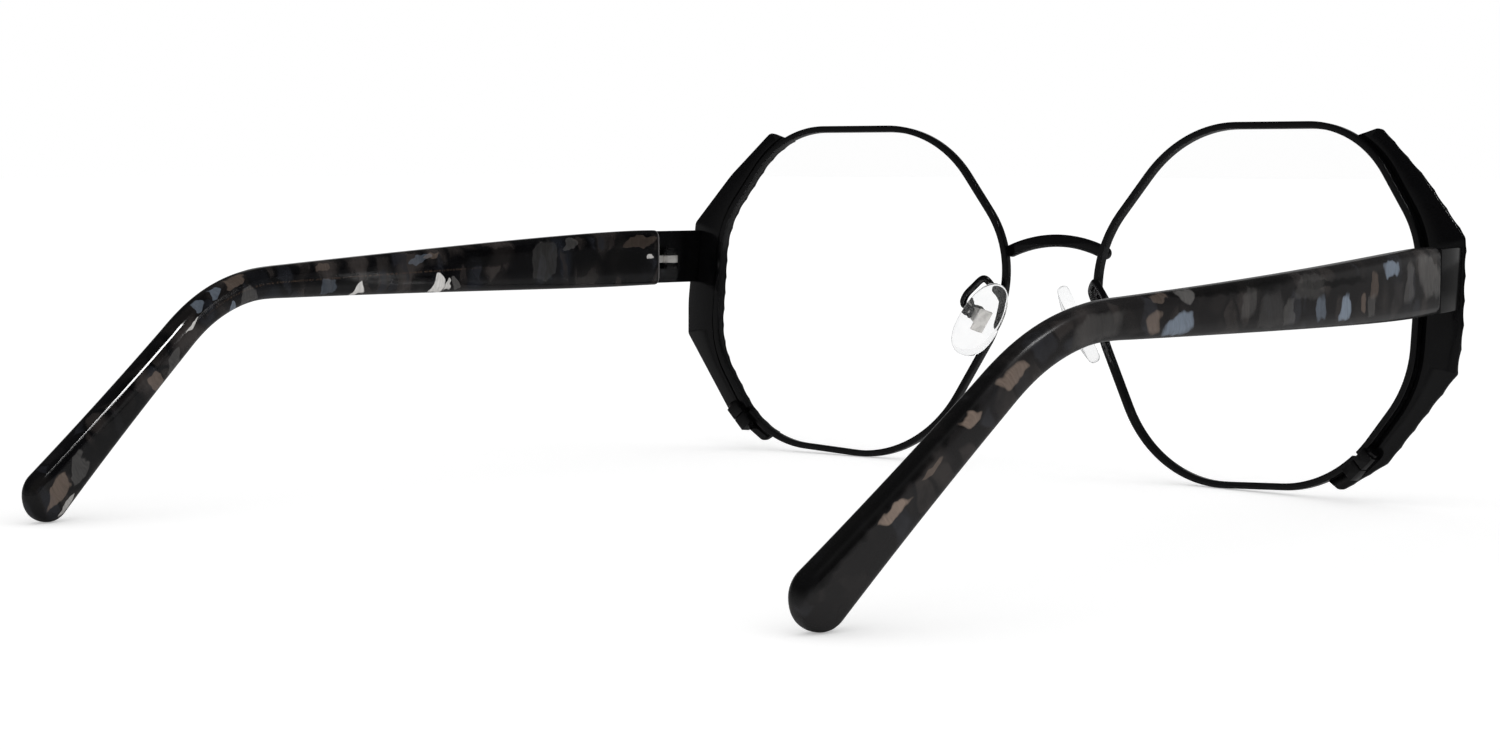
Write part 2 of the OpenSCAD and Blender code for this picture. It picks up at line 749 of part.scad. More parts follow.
bridge();
left() eyewire();  // left_eyewire
left() lens();  // left_lens
left() trim_plate();  // left_trim_plate
left() endpiece();  // left_endpiece
left() lock_block(1, lock_screw_r + 0.02);  // left_lock_upper
left() lock_block(-1, lock_screw_r + 0.02);  // left_lock_lower
left() lock_screw();  // left_lock_screw
left() hinge_front();  // left_hinge_front
left() hinge_screw();  // left_hinge_screw
left() hinge_rear();  // left_hinge_rear
left() temple();  // left_temple
left() core_wire();  // left_core_wire
left() pad_arm();  // left_pad_arm
left() pad_box();  // left_pad_box
left() pad_screw();  // left_pad_screw
left() pad_insert();  // left_pad_insert
left() nose_pad();  // left_nose_pad
right() eyewire();  // right_eyewire
right() lens();  // right_lens
right() trim_plate();  // right_trim_plate
right() endpiece();  // right_endpiece
right() lock_block(1, lock_screw_r + 0.02);  // right_lock_upper
right() lock_block(-1, lock_screw_r + 0.02);  // right_lock_lower
right() lock_screw();  // right_lock_screw
right() hinge_front();  // right_hinge_front
right() hinge_screw();  // right_hinge_screw
right() hinge_rear();  // right_hinge_rear
right() temple();  // right_temple
right() core_wire();  // right_core_wire
right() pad_arm();  // right_pad_arm
right() pad_box();  // right_pad_box
right() pad_screw();  // right_pad_screw
right() pad_insert();  // right_pad_insert
right() nose_pad();  // right_nose_pad
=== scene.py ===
# %% [markdown]
# # Geometric eyeglasses
# A black lacquered wire front holds two clear octagonal lenses. Crescent trim plates sit on the
# front of its outer corners, flat straps lead back from them, and marbled acetate temples fold on
# small hinges. This lesson dresses the CAD model, piece by piece, as it would be seen in a studio.
#
# The CAD model is loaded first, as a fixed frame. Everything is in metres and in its coordinates:
# X to the wearer's left, Y to the back, Z up from the floor.

# %% Load the fixed frame
import json
import math

import bmesh
import bpy
import numpy as np
from mathutils import Matrix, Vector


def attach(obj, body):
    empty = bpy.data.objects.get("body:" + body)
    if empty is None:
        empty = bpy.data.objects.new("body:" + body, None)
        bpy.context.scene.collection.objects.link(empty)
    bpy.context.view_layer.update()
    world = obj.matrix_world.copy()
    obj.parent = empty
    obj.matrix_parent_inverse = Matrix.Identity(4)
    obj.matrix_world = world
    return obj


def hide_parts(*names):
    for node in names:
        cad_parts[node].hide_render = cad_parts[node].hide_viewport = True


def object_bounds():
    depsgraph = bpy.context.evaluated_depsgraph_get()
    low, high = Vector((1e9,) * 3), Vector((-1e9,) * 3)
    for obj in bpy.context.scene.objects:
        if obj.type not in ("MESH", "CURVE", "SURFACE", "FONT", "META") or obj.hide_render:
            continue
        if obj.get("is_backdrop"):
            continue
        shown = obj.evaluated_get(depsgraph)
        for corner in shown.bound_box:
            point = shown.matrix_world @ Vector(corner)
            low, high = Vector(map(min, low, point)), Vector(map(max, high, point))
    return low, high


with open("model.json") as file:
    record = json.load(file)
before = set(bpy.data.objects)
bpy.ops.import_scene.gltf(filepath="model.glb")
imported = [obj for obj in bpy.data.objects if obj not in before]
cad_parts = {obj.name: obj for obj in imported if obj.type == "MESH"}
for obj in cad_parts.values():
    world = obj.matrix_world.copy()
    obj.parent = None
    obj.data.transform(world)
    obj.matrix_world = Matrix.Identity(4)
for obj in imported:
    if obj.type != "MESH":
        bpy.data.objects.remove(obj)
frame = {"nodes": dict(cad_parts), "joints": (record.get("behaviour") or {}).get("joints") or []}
cad_box = [list(corner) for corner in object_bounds()]
print("CAD box in mm:", [[round(1000 * v, 1) for v in corner] for corner in cad_box])

# %% [markdown]
# ## Where the drawing's middle lies
# The glasses were drawn round the middle of the lenses, in millimetres, and then stood on the
# floor. The hinge's place says how far they were moved, so each piece can be drawn in the same
# easy coordinates. The lens plane leans and turns a little, and gets its own three directions.

# %% The drawing's place and the lens plane
MM = 0.001
DRAWN_PIN = np.array([68.1763, 9.1808, 4.5])
left_fold = next(j for j in frame["joints"] if j["name"] == "left_temple_fold")
STAND = np.array(left_fold["pos_m"]) / MM - DRAWN_PIN
STAND[0] = 0.0

TILT, WRAP, HALF_PD = math.radians(5.8), math.radians(4.5), 36.0
OUT = np.array([math.cos(WRAP), math.sin(WRAP) * math.cos(TILT), math.sin(WRAP) * math.sin(TILT)])
UP = np.array([0.0, -math.sin(TILT), math.cos(TILT)])
FORE = np.array([math.sin(WRAP), -math.cos(WRAP) * math.cos(TILT), -math.cos(WRAP) * math.sin(TILT)])


def posed(axes, at):
    """Matrix of three axes and a place in metres."""
    return Matrix([[*(axis[i] for axis in axes), at[i]] for i in range(3)] + [[0, 0, 0, 1]])


def placed(axes, origin):
    """Matrix that takes a flat drawing in metres to its place, from three axes and a drawn origin."""
    return posed(axes, (np.array(origin) + STAND) * MM)


def in_scene(name, data):
    """A new object with its data, linked to the scene."""
    made = bpy.data.objects.new(name, data)
    bpy.context.scene.collection.objects.link(made)
    return made


LENS_PLACE = placed((OUT, UP, FORE), (HALF_PD, 0, 0))
print("stands", [round(v, 3) for v in STAND], "mm from where it was drawn")

# %% [markdown]
# ## The camera
# The photograph was taken from behind the wearer's right shoulder, a little above the temples.
# Its place and lens were worked out from the two rims, which are mirror images of each other.

# %% Camera
AZIMUTH, ELEVATION = math.radians(220.303), math.radians(4.474)
CAMERA_AT = (-0.23636, 0.280943, 0.047377)
back = np.array([
    math.sin(AZIMUTH) * math.cos(ELEVATION), -math.cos(AZIMUTH) * math.cos(ELEVATION), math.sin(ELEVATION)
])
right = np.array([math.cos(AZIMUTH), math.sin(AZIMUTH), 0.0])
up = np.cross(back, right)
camera = in_scene("camera", bpy.data.cameras.new("camera"))
camera.matrix_world = posed((right, up, back), CAMERA_AT)
camera.data.sensor_width = 36.0
camera.data.lens = 65.70
camera.data.clip_start = 0.01
bpy.context.scene.camera = camera
print("camera", [round(v, 3) for v in CAMERA_AT])

# %% [markdown]
# ## Writing shaders and node trees as sums
# A material is a graph of nodes, which reads badly as code. Here a small class stands for one
# socket, and +, -, * and / on it add the Math nodes. Every other node comes from one method that
# takes its type, its settings and what goes into its sockets.


# %% Sockets that can be added and multiplied
class Signal:
    """One output of a node, with arithmetic."""

    def __init__(self, wires, socket):
        self.wires, self.socket = wires, socket

    def math(self, operation, *others):
        return self.wires.add("ShaderNodeMath", {"operation": operation}, dict(enumerate((self, *others))))

    def __add__(self, other):
        return self.math("ADD", other)

    __radd__ = __add__

    def __mul__(self, other):
        return self.math("MULTIPLY", other)

    __rmul__ = __mul__

    def __sub__(self, other):
        return self.math("SUBTRACT", other)

    def __rsub__(self, other):
        return self.wires.add("ShaderNodeMath", {"operation": "SUBTRACT"}, {0: other, 1: self})

    def __truediv__(self, other):
        return self.math("DIVIDE", other)

    def __rtruediv__(self, other):
        return self.wires.add("ShaderNodeMath", {"operation": "DIVIDE"}, {0: other, 1: self})

    def most(self, other):
        return self.math("MAXIMUM", other)

    def step(self, low, high):
        """0 below low, 1 above high and smooth between."""
        return self.wires.add(
            "ShaderNodeMapRange", {"interpolation_type": "SMOOTHSTEP"},
            {"Value": self, "From Min": low, "From Max": high})

    def other(self, name):
        """Another output of the same node."""
        return Signal(self.wires, self.socket.node.outputs[name])


class Wires:
    """A node tree, with one method that adds any node and short ones for the usual nodes."""

    def __init__(self, tree):
        self.tree = tree

    def add(self, kind, settings=None, sockets=None, out=0):
        node = self.tree.nodes.new(kind)
        for name, value in (settings or {}).items():
            if name == "stops":
                ramp = node.color_ramp.elements
                while len(ramp) < len(value):
                    ramp.new(0.5)
                for stop, (place, colour) in zip(ramp, value):
                    stop.position, stop.color = place, (*colour, 1.0)
            elif name == "interpolation":
                node.color_ramp.interpolation = value
            else:
                setattr(node, name, value)
        for name, value in (sockets or {}).items():
            if isinstance(value, Signal):
                self.tree.links.new(value.socket, node.inputs[name])
            else:
                node.inputs[name].default_value = value
        return Signal(self, node.outputs[out])

    def between(self, factor, a, b):
        """Colour a where the factor is 0 and b where it is 1."""
        a, b = [c if isinstance(c, Signal) else (*c, 1.0) for c in (a, b)]
        return self.add("ShaderNodeMix", {"data_type": "RGBA"}, {0: factor, 6: a, 7: b}, out=2)

    def vector(self, operation, a, b):
        return self.add("ShaderNodeVectorMath", {"operation": operation}, {0: a, 1: b})

    def facing(self, direction, way):
        """How far a direction faces a way: 1 along it, 0 across it."""
        return self.add(
            "ShaderNodeVectorMath", {"operation": "DOT_PRODUCT"}, {0: direction, 1: way}, out="Value")

    def noise(self, at, scale, detail=2.0, roughness=0.5):
        return self.add("ShaderNodeTexNoise", {}, {
            "Vector": at, "Scale": scale, "Detail": detail, "Roughness": roughness})

    def here(self):
        """The object's own coordinates."""
        return self.add("ShaderNodeTexCoord", out="Object")

    def bump(self, height, strength, distance=0.00001):
        return self.add("ShaderNodeBump", {}, {
            "Height": height, "Strength": strength, "Distance": distance})

    def end(self, kind, socket, signal):
        """The tree's output node, with what goes into it."""
        self.tree.links.new(signal.socket, self.tree.nodes.new(kind).inputs[socket])


def finish_named(name):
    """The wires of an empty material, and the function that takes its shader and returns it."""
    material = bpy.data.materials.new(name)
    material.use_nodes = True
    material.node_tree.nodes.clear()
    wires = Wires(material.node_tree)

    def surface(shader):
        wires.end("ShaderNodeOutputMaterial", "Surface", shader)
        return material

    return wires, surface


print("shader helpers ready")

# %% [markdown]
# ## Black lacquer
# The rims, bridge, plates and straps are metal under baked black lacquer. It is as good as black
# and shines like piano lacquer, with a faint waviness where it flowed and a few duller places where
# fingers rubbed it. Noises on the object's own coordinates make both: they vary the roughness and
# lift the surface by a few thousandths of a millimetre.


# %% Black lacquer
def lacquer():
    w, surface = finish_named("black_lacquer")
    at = w.here()
    flow = w.noise(at, 420.0, 3.0)
    rub = w.noise(at, 150.0, 4.0, 0.6).step(0.55, 0.75)
    return surface(w.add("ShaderNodeBsdfPrincipled", {}, {
        "Base Color": w.between(rub, (0.0022, 0.0022, 0.0026), (0.0036, 0.0036, 0.004)),
        "Roughness": flow * 0.08 + rub * 0.08 + 0.09,
        "IOR": 1.5,
        "Normal": w.bump(flow, 0.03),
    }))


BLACK = lacquer()
print("made", BLACK.name)

# %% [markdown]
# ## Bare steel
# The turning knuckle of each hinge and the screws and plates of the nose pads are bare steel, drawn
# and tumbled. Fine parallel lines come from noise that is stretched along one direction, and a
# slower noise gives the duller patches that handling leaves.


# %% Bare steel
def steel(name, stretch):
    w, surface = finish_named(name)
    at = w.here()
    along = w.add("ShaderNodeMapping", {}, {"Vector": at, "Scale": stretch})
    lines = w.noise(along, 2400.0, 3.0)
    dull = w.noise(at, 900.0, 3.0).step(0.4, 0.7)
    return surface(w.add("ShaderNodeBsdfPrincipled", {}, {
        "Base Color": w.between(dull, (0.74, 0.72, 0.69), (0.58, 0.565, 0.54)),
        "Metallic": 0.55,
        "Roughness": lines * 0.15 + dull * 0.12 + 0.3,
        "Normal": w.bump(lines, 0.2),
    }))


STEEL = steel("bare_steel", (0.15, 1.0, 1.0))
print("made", STEEL.name)

# %% [markdown]
# ## Clear lens
# A plain lens for show adds only a faint reflection to what is behind it. A mix of a transparent
# shader and a glossy one gives that without bending or darkening the view, as a thin lens does.
# The reflection is faint but for a grazing view, and a trace of noise makes its coating uneven.


# %% Clear lens
MIRRORED_FLAT, MIRRORED_GRAZING = 0.008, 0.4


def clear_lens():
    w, surface = finish_named("clear_lens")
    at = w.here()
    coat = w.noise(at, 60.0, 1.0)
    gloss = w.add("ShaderNodeBsdfGlossy", {}, {
        "Color": (0.93, 0.97, 1.0, 1.0), "Roughness": coat * 0.015 + 0.005})
    through = w.add("ShaderNodeBsdfTransparent", {}, {"Color": (1.0, 1.0, 1.0, 1.0)})
    grazing = w.add("ShaderNodeLayerWeight", {}, {"Blend": 0.5}, out="Facing").math("POWER", 5.0)
    mirror = (grazing * MIRRORED_GRAZING + MIRRORED_FLAT) * (coat * 0.3 + 0.7)
    return surface(w.add("ShaderNodeMixShader", {}, {0: mirror, 1: through, 2: gloss}))


LENS = clear_lens()
print("made", LENS.name)

# %% [markdown]
# ## Clear silicone
# The nose pads are soft clear silicone. It bends light less than glass, and its skin has small
# ripples from the mould, so that the metal inside shows softly. Where it is seen edge-on its colour
# turns grey, a painted shade along its rims.


# %% Clear silicone
def silicone():
    w, surface = finish_named("clear_silicone")
    at = w.here()
    ripple = w.noise(at, 700.0, 2.0)
    skin_tone = w.between(ripple.step(0.3, 0.7), (0.93, 0.935, 0.94), (0.97, 0.97, 0.97))
    # Painted shade: the colour turns grey where the surface is seen edge-on.
    grazing = w.add("ShaderNodeLayerWeight", {}, {"Blend": 0.4}, out="Facing").step(0.5, 0.95)
    return surface(w.add("ShaderNodeBsdfPrincipled", {}, {
        "Base Color": w.between(grazing, skin_tone, (0.6, 0.62, 0.64)),
        "Roughness": ripple * 0.05 + 0.02,
        "IOR": 1.22,
        "Transmission Weight": 0.97,
        "Normal": w.bump(ripple, 0.15, 0.00002),
    }))


SILICONE = silicone()
print("made", SILICONE.name)

# %% [markdown]
# ## Marbled acetate
# The temples are cut from a slab pressed together from chips: black, charcoal and smoke, some
# taupe, and a few of pearl that flash white or pale blue. A pattern of cells in the slab's own
# coordinates (across, along and up, in millimetres, stored on the mesh before it was bent) is what
# such a slab is, and it runs through the thickness and follows the bend. Two sizes of cell lie over
# each other like leaves: each has its own shade, a lighter heart and a dark border.
#
# The flakes that the eye finds first are laid one by one where the photograph shows them: place along
# and up, half length, half height, lean, taper to a point, and strength. Both temples are cut from
# one slab, the right one further along it, where the marbling has softer borders. The right temple's
# colours are also lifted and mixed towards grey, a painted sheen for the light its outer face
# reflects. The black rows are dark patches, and those along the upper faces are painted shade.

# %% The flakes, listed
APART, BETWEEN = 310.0, 200.0
FLAKES = {
    "pearl": [
        (47, -1.9, 1.25, 1.5, 0.3, 0.55, 0.95), (44.9, -2.2, 0.5, 1.1, 0.6, 0.3, 0.8),
        (63.7, -1.7, 1, 1.1, 0.2, 0.8, 0.9), (99, 0.7, 1.2, 0.25, -0.8, 0, 0.8),
        (2.1, 0.2, 0.45, 0.5, 0, 0, 0.7), (131.8, -2.3, 1.5, 0.4, 0.5, 0, 0.5),
    ],
    "blue": [
        (51, 1.9, 1.8, 0.8, 0.7, 0, 0.26), (70, -1.2, 1.5, 1.2, 0, 0, 0.2),
        (92.4, 1.7, 1.1, 0.55, 0.2, 0, 0.42), (96.1, 1.7, 0.95, 0.5, 0.2, 0, 0.42),
        (90.2, -1.3, 0.7, 0.9, 0, 0.5, 0.6), (328.5, 2.6, 2.3, 1, -0.15, 0, 0.85),
        (342.6, -1.5, 1.4, 1.55, 0.35, 0.45, 0.95), (349, -1.2, 1.3, 1.5, 0, 0.15, 0.42),
        (380, -0.9, 2.3, 1.35, 0.35, 0.25, 0.8),
    ],
    "taupe": [
        (48.4, 2.4, 1.4, 0.55, 0.6, 0, 0.22), (71, 1.7, 1.5, 0.6, 0, 0, 0.16),
        (88.2, 1.8, 1.8, 0.75, 0.3, 0, 0.24), (109, -0.6, 1.3, 1.2, -0.2, 0, 0.34),
        (4.2, 2.8, 3.2, 0.9, 0.3, 0, 0.12), (131.6, 0.4, 2.2, 1.5, 0.4, 0.4, 0.36),
        (384.9, -0.6, 1.3, 1.2, 0, 0, 0.4), (383.6, 2.1, 1.4, 0.5, 0, 0, 0.24),
        (334.2, 0.9, 1, 1.8, 0.1, 0, 0.22), (337.6, -1.2, 0.6, 1.2, 0.3, 0, 0.3),
        (409, 0.8, 2, 0.9, -0.5, 0, 0.5), (416.6, 1.4, 1.3, 0.8, -0.4, 0, 0.62),
        (430.6, 1.1, 2.2, 0.6, -0.4, 0, 0.75), (424, 1, 1.4, 0.35, -0.5, 0, 0.3),
    ],
    # Dark patches; the long rows along the upper faces are painted shade, the dark that those faces reflect.
    "black": [
        (346, 1.7, 9, 0.5, 0, 0, 0.8), (372, 3, 16, 1.1, 0, 0, 0.75), (388, -2.9, 2.2, 1.2, 0.3, 0, 0.6),
        (428, 4.2, 31, 2.5, 0, 0, 0.93), (104, 3.6, 14, 1.9, 0, 0, 0.8), (119, -1, 5, 2.4, 0, 0, 0.6),
        (36, 1.6, 6.5, 1.5, 0.2, 0, 0.75), (9, -0.4, 5, 2, 0, 0, 0.6),
    ],
    "grey": [
        (43.4, -1.9, 0.7, 1, -0.4, 0.2, 0.3), (19, 3, 1.4, 0.95, 0.4, 0, 0.16),
        (24.5, 0.6, 2.6, 3.2, 0.15, 0, 0.09), (86.6, -0.8, 1.6, 1.2, 0, 0.3, 0.22),
        (127, 0.2, 1.6, 1.8, 0.5, 0.3, 0.2), (104.6, -0.9, 1.5, 1.1, 0.4, 0, 0.2),
        (378.6, 2, 1.5, 0.8, 0, -0.2, 0.4), (314.4, 1.1, 4.4, 3, -0.7, 0.4, 0.3),
        (322.5, 0.4, 1.4, 2.6, 0.3, 0.2, 0.22), (357, -1.2, 1.3, 1.6, 0.2, 0.2, 0.2),
        (366, 0.6, 1.6, 1.7, 0.3, 0.1, 0.16), (335, -1.9, 1.2, 1.4, 0.1, 0, 0.2),
        (352, 1.6, 3.4, 1.6, 0.2, 0.2, 0.12), (361, -0.6, 3, 2.2, 0, 0.4, 0.1),
        (395, -0.2, 4.4, 1.4, 0.2, 0, 0.14),
    ],
}
TINTS = {
    "black": (0.002, 0.002, 0.0022), "pearl": (0.86, 0.84, 0.81), "blue": (0.25, 0.3, 0.37),
    "taupe": (0.37, 0.28, 0.225), "grey": (0.3, 0.29, 0.28),
}
print("flakes laid by hand:", sum(len(rows) for rows in FLAKES.values()))


# %% Marbled acetate
def marbled():
    w, surface = finish_named("marbled_acetate")
    slab = w.add("ShaderNodeAttribute", {"attribute_name": "slab"}, out="Vector")
    across = w.add("ShaderNodeSeparateXYZ", {}, {0: slab})
    along, height = across.other("Y"), across.other("Z")
    right_one = along.step(BETWEEN, BETWEEN + 1)
    wander = w.noise(slab, 0.22).other("Color")
    drift = w.vector("MULTIPLY", w.vector("SUBTRACT", wander, (0.5, 0.5, 0.5)), (2.0, 3.2, 3.0))
    bent = w.vector("ADD", slab, drift)

    def chips(scale, seed, randomness):
        """Cells of a size in millimetres: a chance colour for each, and the distance to its border."""
        at = w.vector("ADD", w.vector("MULTIPLY", bent, tuple(1 / s for s in scale)), (seed, seed, seed))
        sockets = {"Vector": at, "Scale": 1.0, "Randomness": randomness}
        cell = w.add("ShaderNodeTexVoronoi", {"feature": "F1"}, sockets)
        edge = w.add("ShaderNodeTexVoronoi", {"feature": "DISTANCE_TO_EDGE"}, sockets)
        return w.add("ShaderNodeSeparateColor", {}, {"Color": cell.other("Color")}), edge

    big, big_edge = chips((3.0, 5.2, 8.5), 3.1, 0.85)
    small, small_edge = chips((2.0, 2.8, 5.5), 11.7, 0.95)
    silk = w.noise(w.vector("MULTIPLY", bent, (1.2, 2.6, 0.35)), 1.3, 4.0, 0.6)
    smoke = w.noise(bent, 0.35, 3.0, 0.55)

    base = w.add("ShaderNodeValToRGB", {"interpolation": "CONSTANT", "stops": [
        (0.0, (0.0018, 0.0018, 0.0021)), (0.36, (0.0075, 0.007, 0.0068)), (0.5, (0.019, 0.017, 0.0163)),
        (0.64, (0.0095, 0.0108, 0.0142)), (0.76, (0.031, 0.0268, 0.0252)), (0.9, (0.0035, 0.0035, 0.004)),
    ]}, {0: big})
    border = big_edge.step(0.0, right_one * 0.4 + 0.3) * (silk * 0.7 + 0.5)
    leaf = w.between(border, (0.0024, 0.0024, 0.0028), base)
    over = small.other("Green").step(0.5, 0.55) * small_edge.step(0.02, 0.16)
    over = over * (smoke.step(0.3, 0.6) * 0.7 + 0.3)
    warm, cool = (0.0205, 0.0175, 0.0165), (0.0135, 0.0145, 0.018)
    over_tone = w.between(small.other("Blue").step(0.45, 0.55), warm, cool)
    layered = w.between(over * 0.75, leaf, over_tone)
    shadow = small.step(0.76, 0.78) * small_edge.step(0.0, 0.1)
    layered = w.between(shadow * 0.7, layered, (0.0022, 0.0022, 0.0026))
    # Painted sheen: the right temple's colours are lifted and mixed towards grey, for the light its outer
    # face reflects.
    painted_sheen_lift = w.add("ShaderNodeCombineXYZ", {}, {axis: right_one * 1.5 + 1.5 for axis in range(3)})
    colour = w.between(right_one * 0.4, w.vector("MULTIPLY", layered, painted_sheen_lift), (0.034, 0.031, 0.03))

    core = (1 - height.math("ABSOLUTE").step(0.06, 0.2)) * along.step(30, 50)
    core = core * (1 - along.step(92, 98)) * silk.step(0.4, 0.6)
    colour = w.between(core * 0.5, colour, (0.075, 0.05, 0.035))
    # Painted highlight: a pale line along the front end of the acetate.
    front_edge_highlight = 1 - (along - right_one * APART).step(0.1, 0.5)
    colour = w.between(front_edge_highlight * 0.8, colour, (0.3, 0.29, 0.29))
    seen = (across * (right_one * 2 - 1)).step(0.1, 0.6)
    ragged = w.add("ShaderNodeSeparateColor", {}, {"Color": w.noise(slab, 0.55, 1.0).other("Color")})
    along, height = along + (ragged - 0.5) * 1.9, height + (ragged.other("Green") - 0.5) * 1.5
    for tint in TINTS:
        cover = 0.0
        for s0, h0, half_s, half_h, lean, taper, strength in FLAKES[tint]:
            soft = 0.4 if s0 > BETWEEN or tint == "black" else 0.0
            v = (height - h0) / half_h
            u = ((along - s0) / half_s + v * lean) / (1 - v * taper).most(0.08)
            u, v = u * u, v * v
            spot = 1 - (u * u + v * v).step(0.62 - soft, 1.15 + soft)
            cover = (spot * strength).most(cover)
        # The black rows, part of them painted shade, lie on every face.
        through = cover if tint == "black" else cover * seen * (silk * 0.9 + 0.5)
        colour = w.between(through, colour, TINTS[tint])

    scratch = w.noise(w.vector("MULTIPLY", slab, (6.0, 0.5, 9.0)), 3.0, 2.0)
    return surface(w.add("ShaderNodeBsdfPrincipled", {}, {
        "Base Color": colour,
        "Roughness": scratch * 0.03 + smoke * 0.03 + right_one * 0.17 + 0.03,
        "IOR": 1.49,
        "Normal": w.bump(scratch, 0.008),
    }))


ACETATE = marbled()
print("made", ACETATE.name)

# %% [markdown]
# ## From points to pieces
# Most pieces are skins over rings of points. One helper makes a mesh from such rings, one puts a
# mesh in the scene as a finished piece, and one makes the pair: the left piece, and its mirror
# image for the right, whose faces are turned again so that they still look outwards.


# %% Meshes, mirror images and pairs
SIDES = ("left", "right")


def tidy(mesh, smooth=38):
    """Faces outwards, smooth but for real edges."""
    bm = bmesh.new()
    bm.from_mesh(mesh)
    bmesh.ops.recalc_face_normals(bm, faces=bm.faces)
    bm.to_mesh(mesh)
    bm.free()
    mesh.shade_smooth()
    mesh.set_sharp_from_angle(angle=math.radians(smooth))
    return mesh


def skin(name, rings, smooth=38):
    """A closed skin over rings of points in metres, with a flat face at either end."""
    rings = np.asarray(rings, float)
    m, n, _ = rings.shape
    faces = []
    for i in range(m - 1):
        for k in range(n):
            a, b = i * n + k, i * n + (k + 1) % n
            faces.append((a, b, b + n, a + n))
    faces += [tuple(range(n))[::-1], tuple(range((m - 1) * n, m * n))]
    mesh = bpy.data.meshes.new(name)
    mesh.from_pydata(rings.reshape(-1, 3).tolist(), [], faces)
    return tidy(mesh, smooth)


def mirrored(mesh):
    """The mesh as seen in a mirror between the lenses, with its faces outwards."""
    other = mesh.copy()
    other.transform(Matrix.Scale(-1, 4, (1, 0, 0)))
    other.flip_normals()
    return other


def piece(name, mesh, material, body, replaced):
    """Puts one finished piece in the scene, on its body and in place of its CAD nodes."""
    made = in_scene(name, mesh)
    mesh.materials.clear()
    mesh.materials.append(material)
    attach(made, body)
    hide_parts(*replaced)
    print(f"{name}: {len(mesh.polygons)} faces")


def pair(what, mesh, material, body, replaced):
    """The left piece and its mirror image; {side} in the names stands for left or right."""
    for side in SIDES:
        shape = mesh if side == "left" else mirrored(mesh)
        piece(what.format(side=side), shape, material, body.format(side=side),
              [r.format(side=side) for r in replaced])


def settled(made):
    """The plain mesh of a scratch object with its modifiers worked in. The object is removed."""
    graph = bpy.context.evaluated_depsgraph_get()
    mesh = bpy.data.meshes.new_from_object(made.evaluated_get(graph))
    bpy.data.objects.remove(made)
    return mesh


def bevelled(mesh, width, segments, limit):
    """The mesh with its edges sharper than a limit in degrees rounded by a width in millimetres."""
    bench = in_scene("bench", mesh)
    bevel = bench.modifiers.new("bevel", "BEVEL")
    bevel.width, bevel.segments, bevel.angle_limit = width * MM, segments, math.radians(limit)
    return settled(bench)


print("mesh helpers ready")

# %% [markdown]
# ## The lens opening
# Each opening is an octagon with generous roundings. Its corners are shares of half the opening,
# and the same corners moved outwards give every line that follows it: the rim's middle, its outer
# edge, the lens's edge and the plates' inner edge.

# %% The octagon and its offsets
HALF_X, HALF_Y = 27.1, 25.6
RIM_T, RIM_D = 1.0, 1.3
CORNERS = [
    (1, 0.38, 0.55), (0.6, 0.99, 0.57), (-0.49, 1, 0.7), (-1.06, 0.25, 0.59),
    (-0.935, -0.23, 0.44), (-0.517, -1.025, 0.725), (0.6, -0.97, 0.655), (0.997, -0.39, 0.57),
]


def unit(v):
    return v / np.linalg.norm(v)


def corner_arc(a, p, b, r):
    """Centre, radius, start and turn of the arc that rounds corner p between a and b."""
    to_a, to_b = unit(a - p), unit(b - p)
    half = math.acos(float(to_a @ to_b)) / 2
    centre = p + unit(to_a + to_b) * r / math.sin(half)
    begin = p + to_a * r / math.tan(half) - centre
    end = p + to_b * r / math.tan(half) - centre
    start = math.atan2(begin[1], begin[0])
    turn = math.atan2(end[1], end[0]) - start
    return centre, r, start, turn - 2 * math.pi * round(turn / (2 * math.pi))


def arcs_of(corners):
    n = len(corners)
    point = [np.array(c[:2], float) for c in corners]
    return [corner_arc(point[i - 1], point[i], point[(i + 1) % n], corners[i][2]) for i in range(n)]


def rounded(corners, steps):
    """Closed outline of a polygon whose corners are rounded."""
    return np.array([
        centre + r * np.array([math.cos(start + turn * k / steps), math.sin(start + turn * k / steps)])
        for centre, r, start, turn in arcs_of(corners) for k in range(steps + 1)
    ])


def opening_corners(d):
    """The octagon's corners, moved outwards by d millimetres."""
    base = [np.array([x * HALF_X, y * HALF_Y]) for x, y, _ in CORNERS]
    moved = []
    for i, p in enumerate(base):
        to_a, to_b = unit(base[i - 1] - p), unit(base[(i + 1) % len(base)] - p)
        half = math.acos(float(to_a @ to_b)) / 2
        q = p - unit(to_a + to_b) * d / math.sin(half)
        moved.append((q[0], q[1], CORNERS[i][2] * HALF_X + d))
    return moved


def opening(d):
    return rounded(opening_corners(d), 24)


def beyond(arc, degrees, d):
    """The point in a direction from an arc's centre, d outside the arc."""
    a = math.radians(degrees)
    return arc[0] + (arc[1] + d) * np.array([math.cos(a), math.sin(a)])


def even(points, count, closed=True):
    """The same line with its points evenly spaced."""
    line = np.vstack([points, points[:1]]) if closed else points
    run = np.concatenate([[0], np.cumsum(np.linalg.norm(np.diff(line, axis=0), axis=1))])
    at = np.linspace(0, run[-1], count, endpoint=not closed)
    return np.stack([np.interp(at, run, line[:, k]) for k in range(line.shape[1])], axis=1)


def directions(points):
    return np.arctan2(points[:, 1], points[:, 0])


def reach(points, angles, closed=True):
    """Distance from the lens centre to an outline in each direction."""
    points = even(points, 3000, closed)
    a = directions(points)
    order = np.argsort(a)
    a, r = a[order], np.linalg.norm(points, axis=1)[order]
    return np.interp(angles, np.concatenate([a - 2 * np.pi, a, a + 2 * np.pi]), np.tile(r, 3))


print("opening", np.ptp(opening(0), axis=0).round(2), "mm")

# %% [markdown]
# ## Wire along a route
# The rims and the arms of the nose pads are wire: one section carried along a line. That is a rule,
# so a small geometry tree does it, and the same tree serves both, with the section's sizes as its
# inputs. A square section with its corners rounded all the way is a round wire.


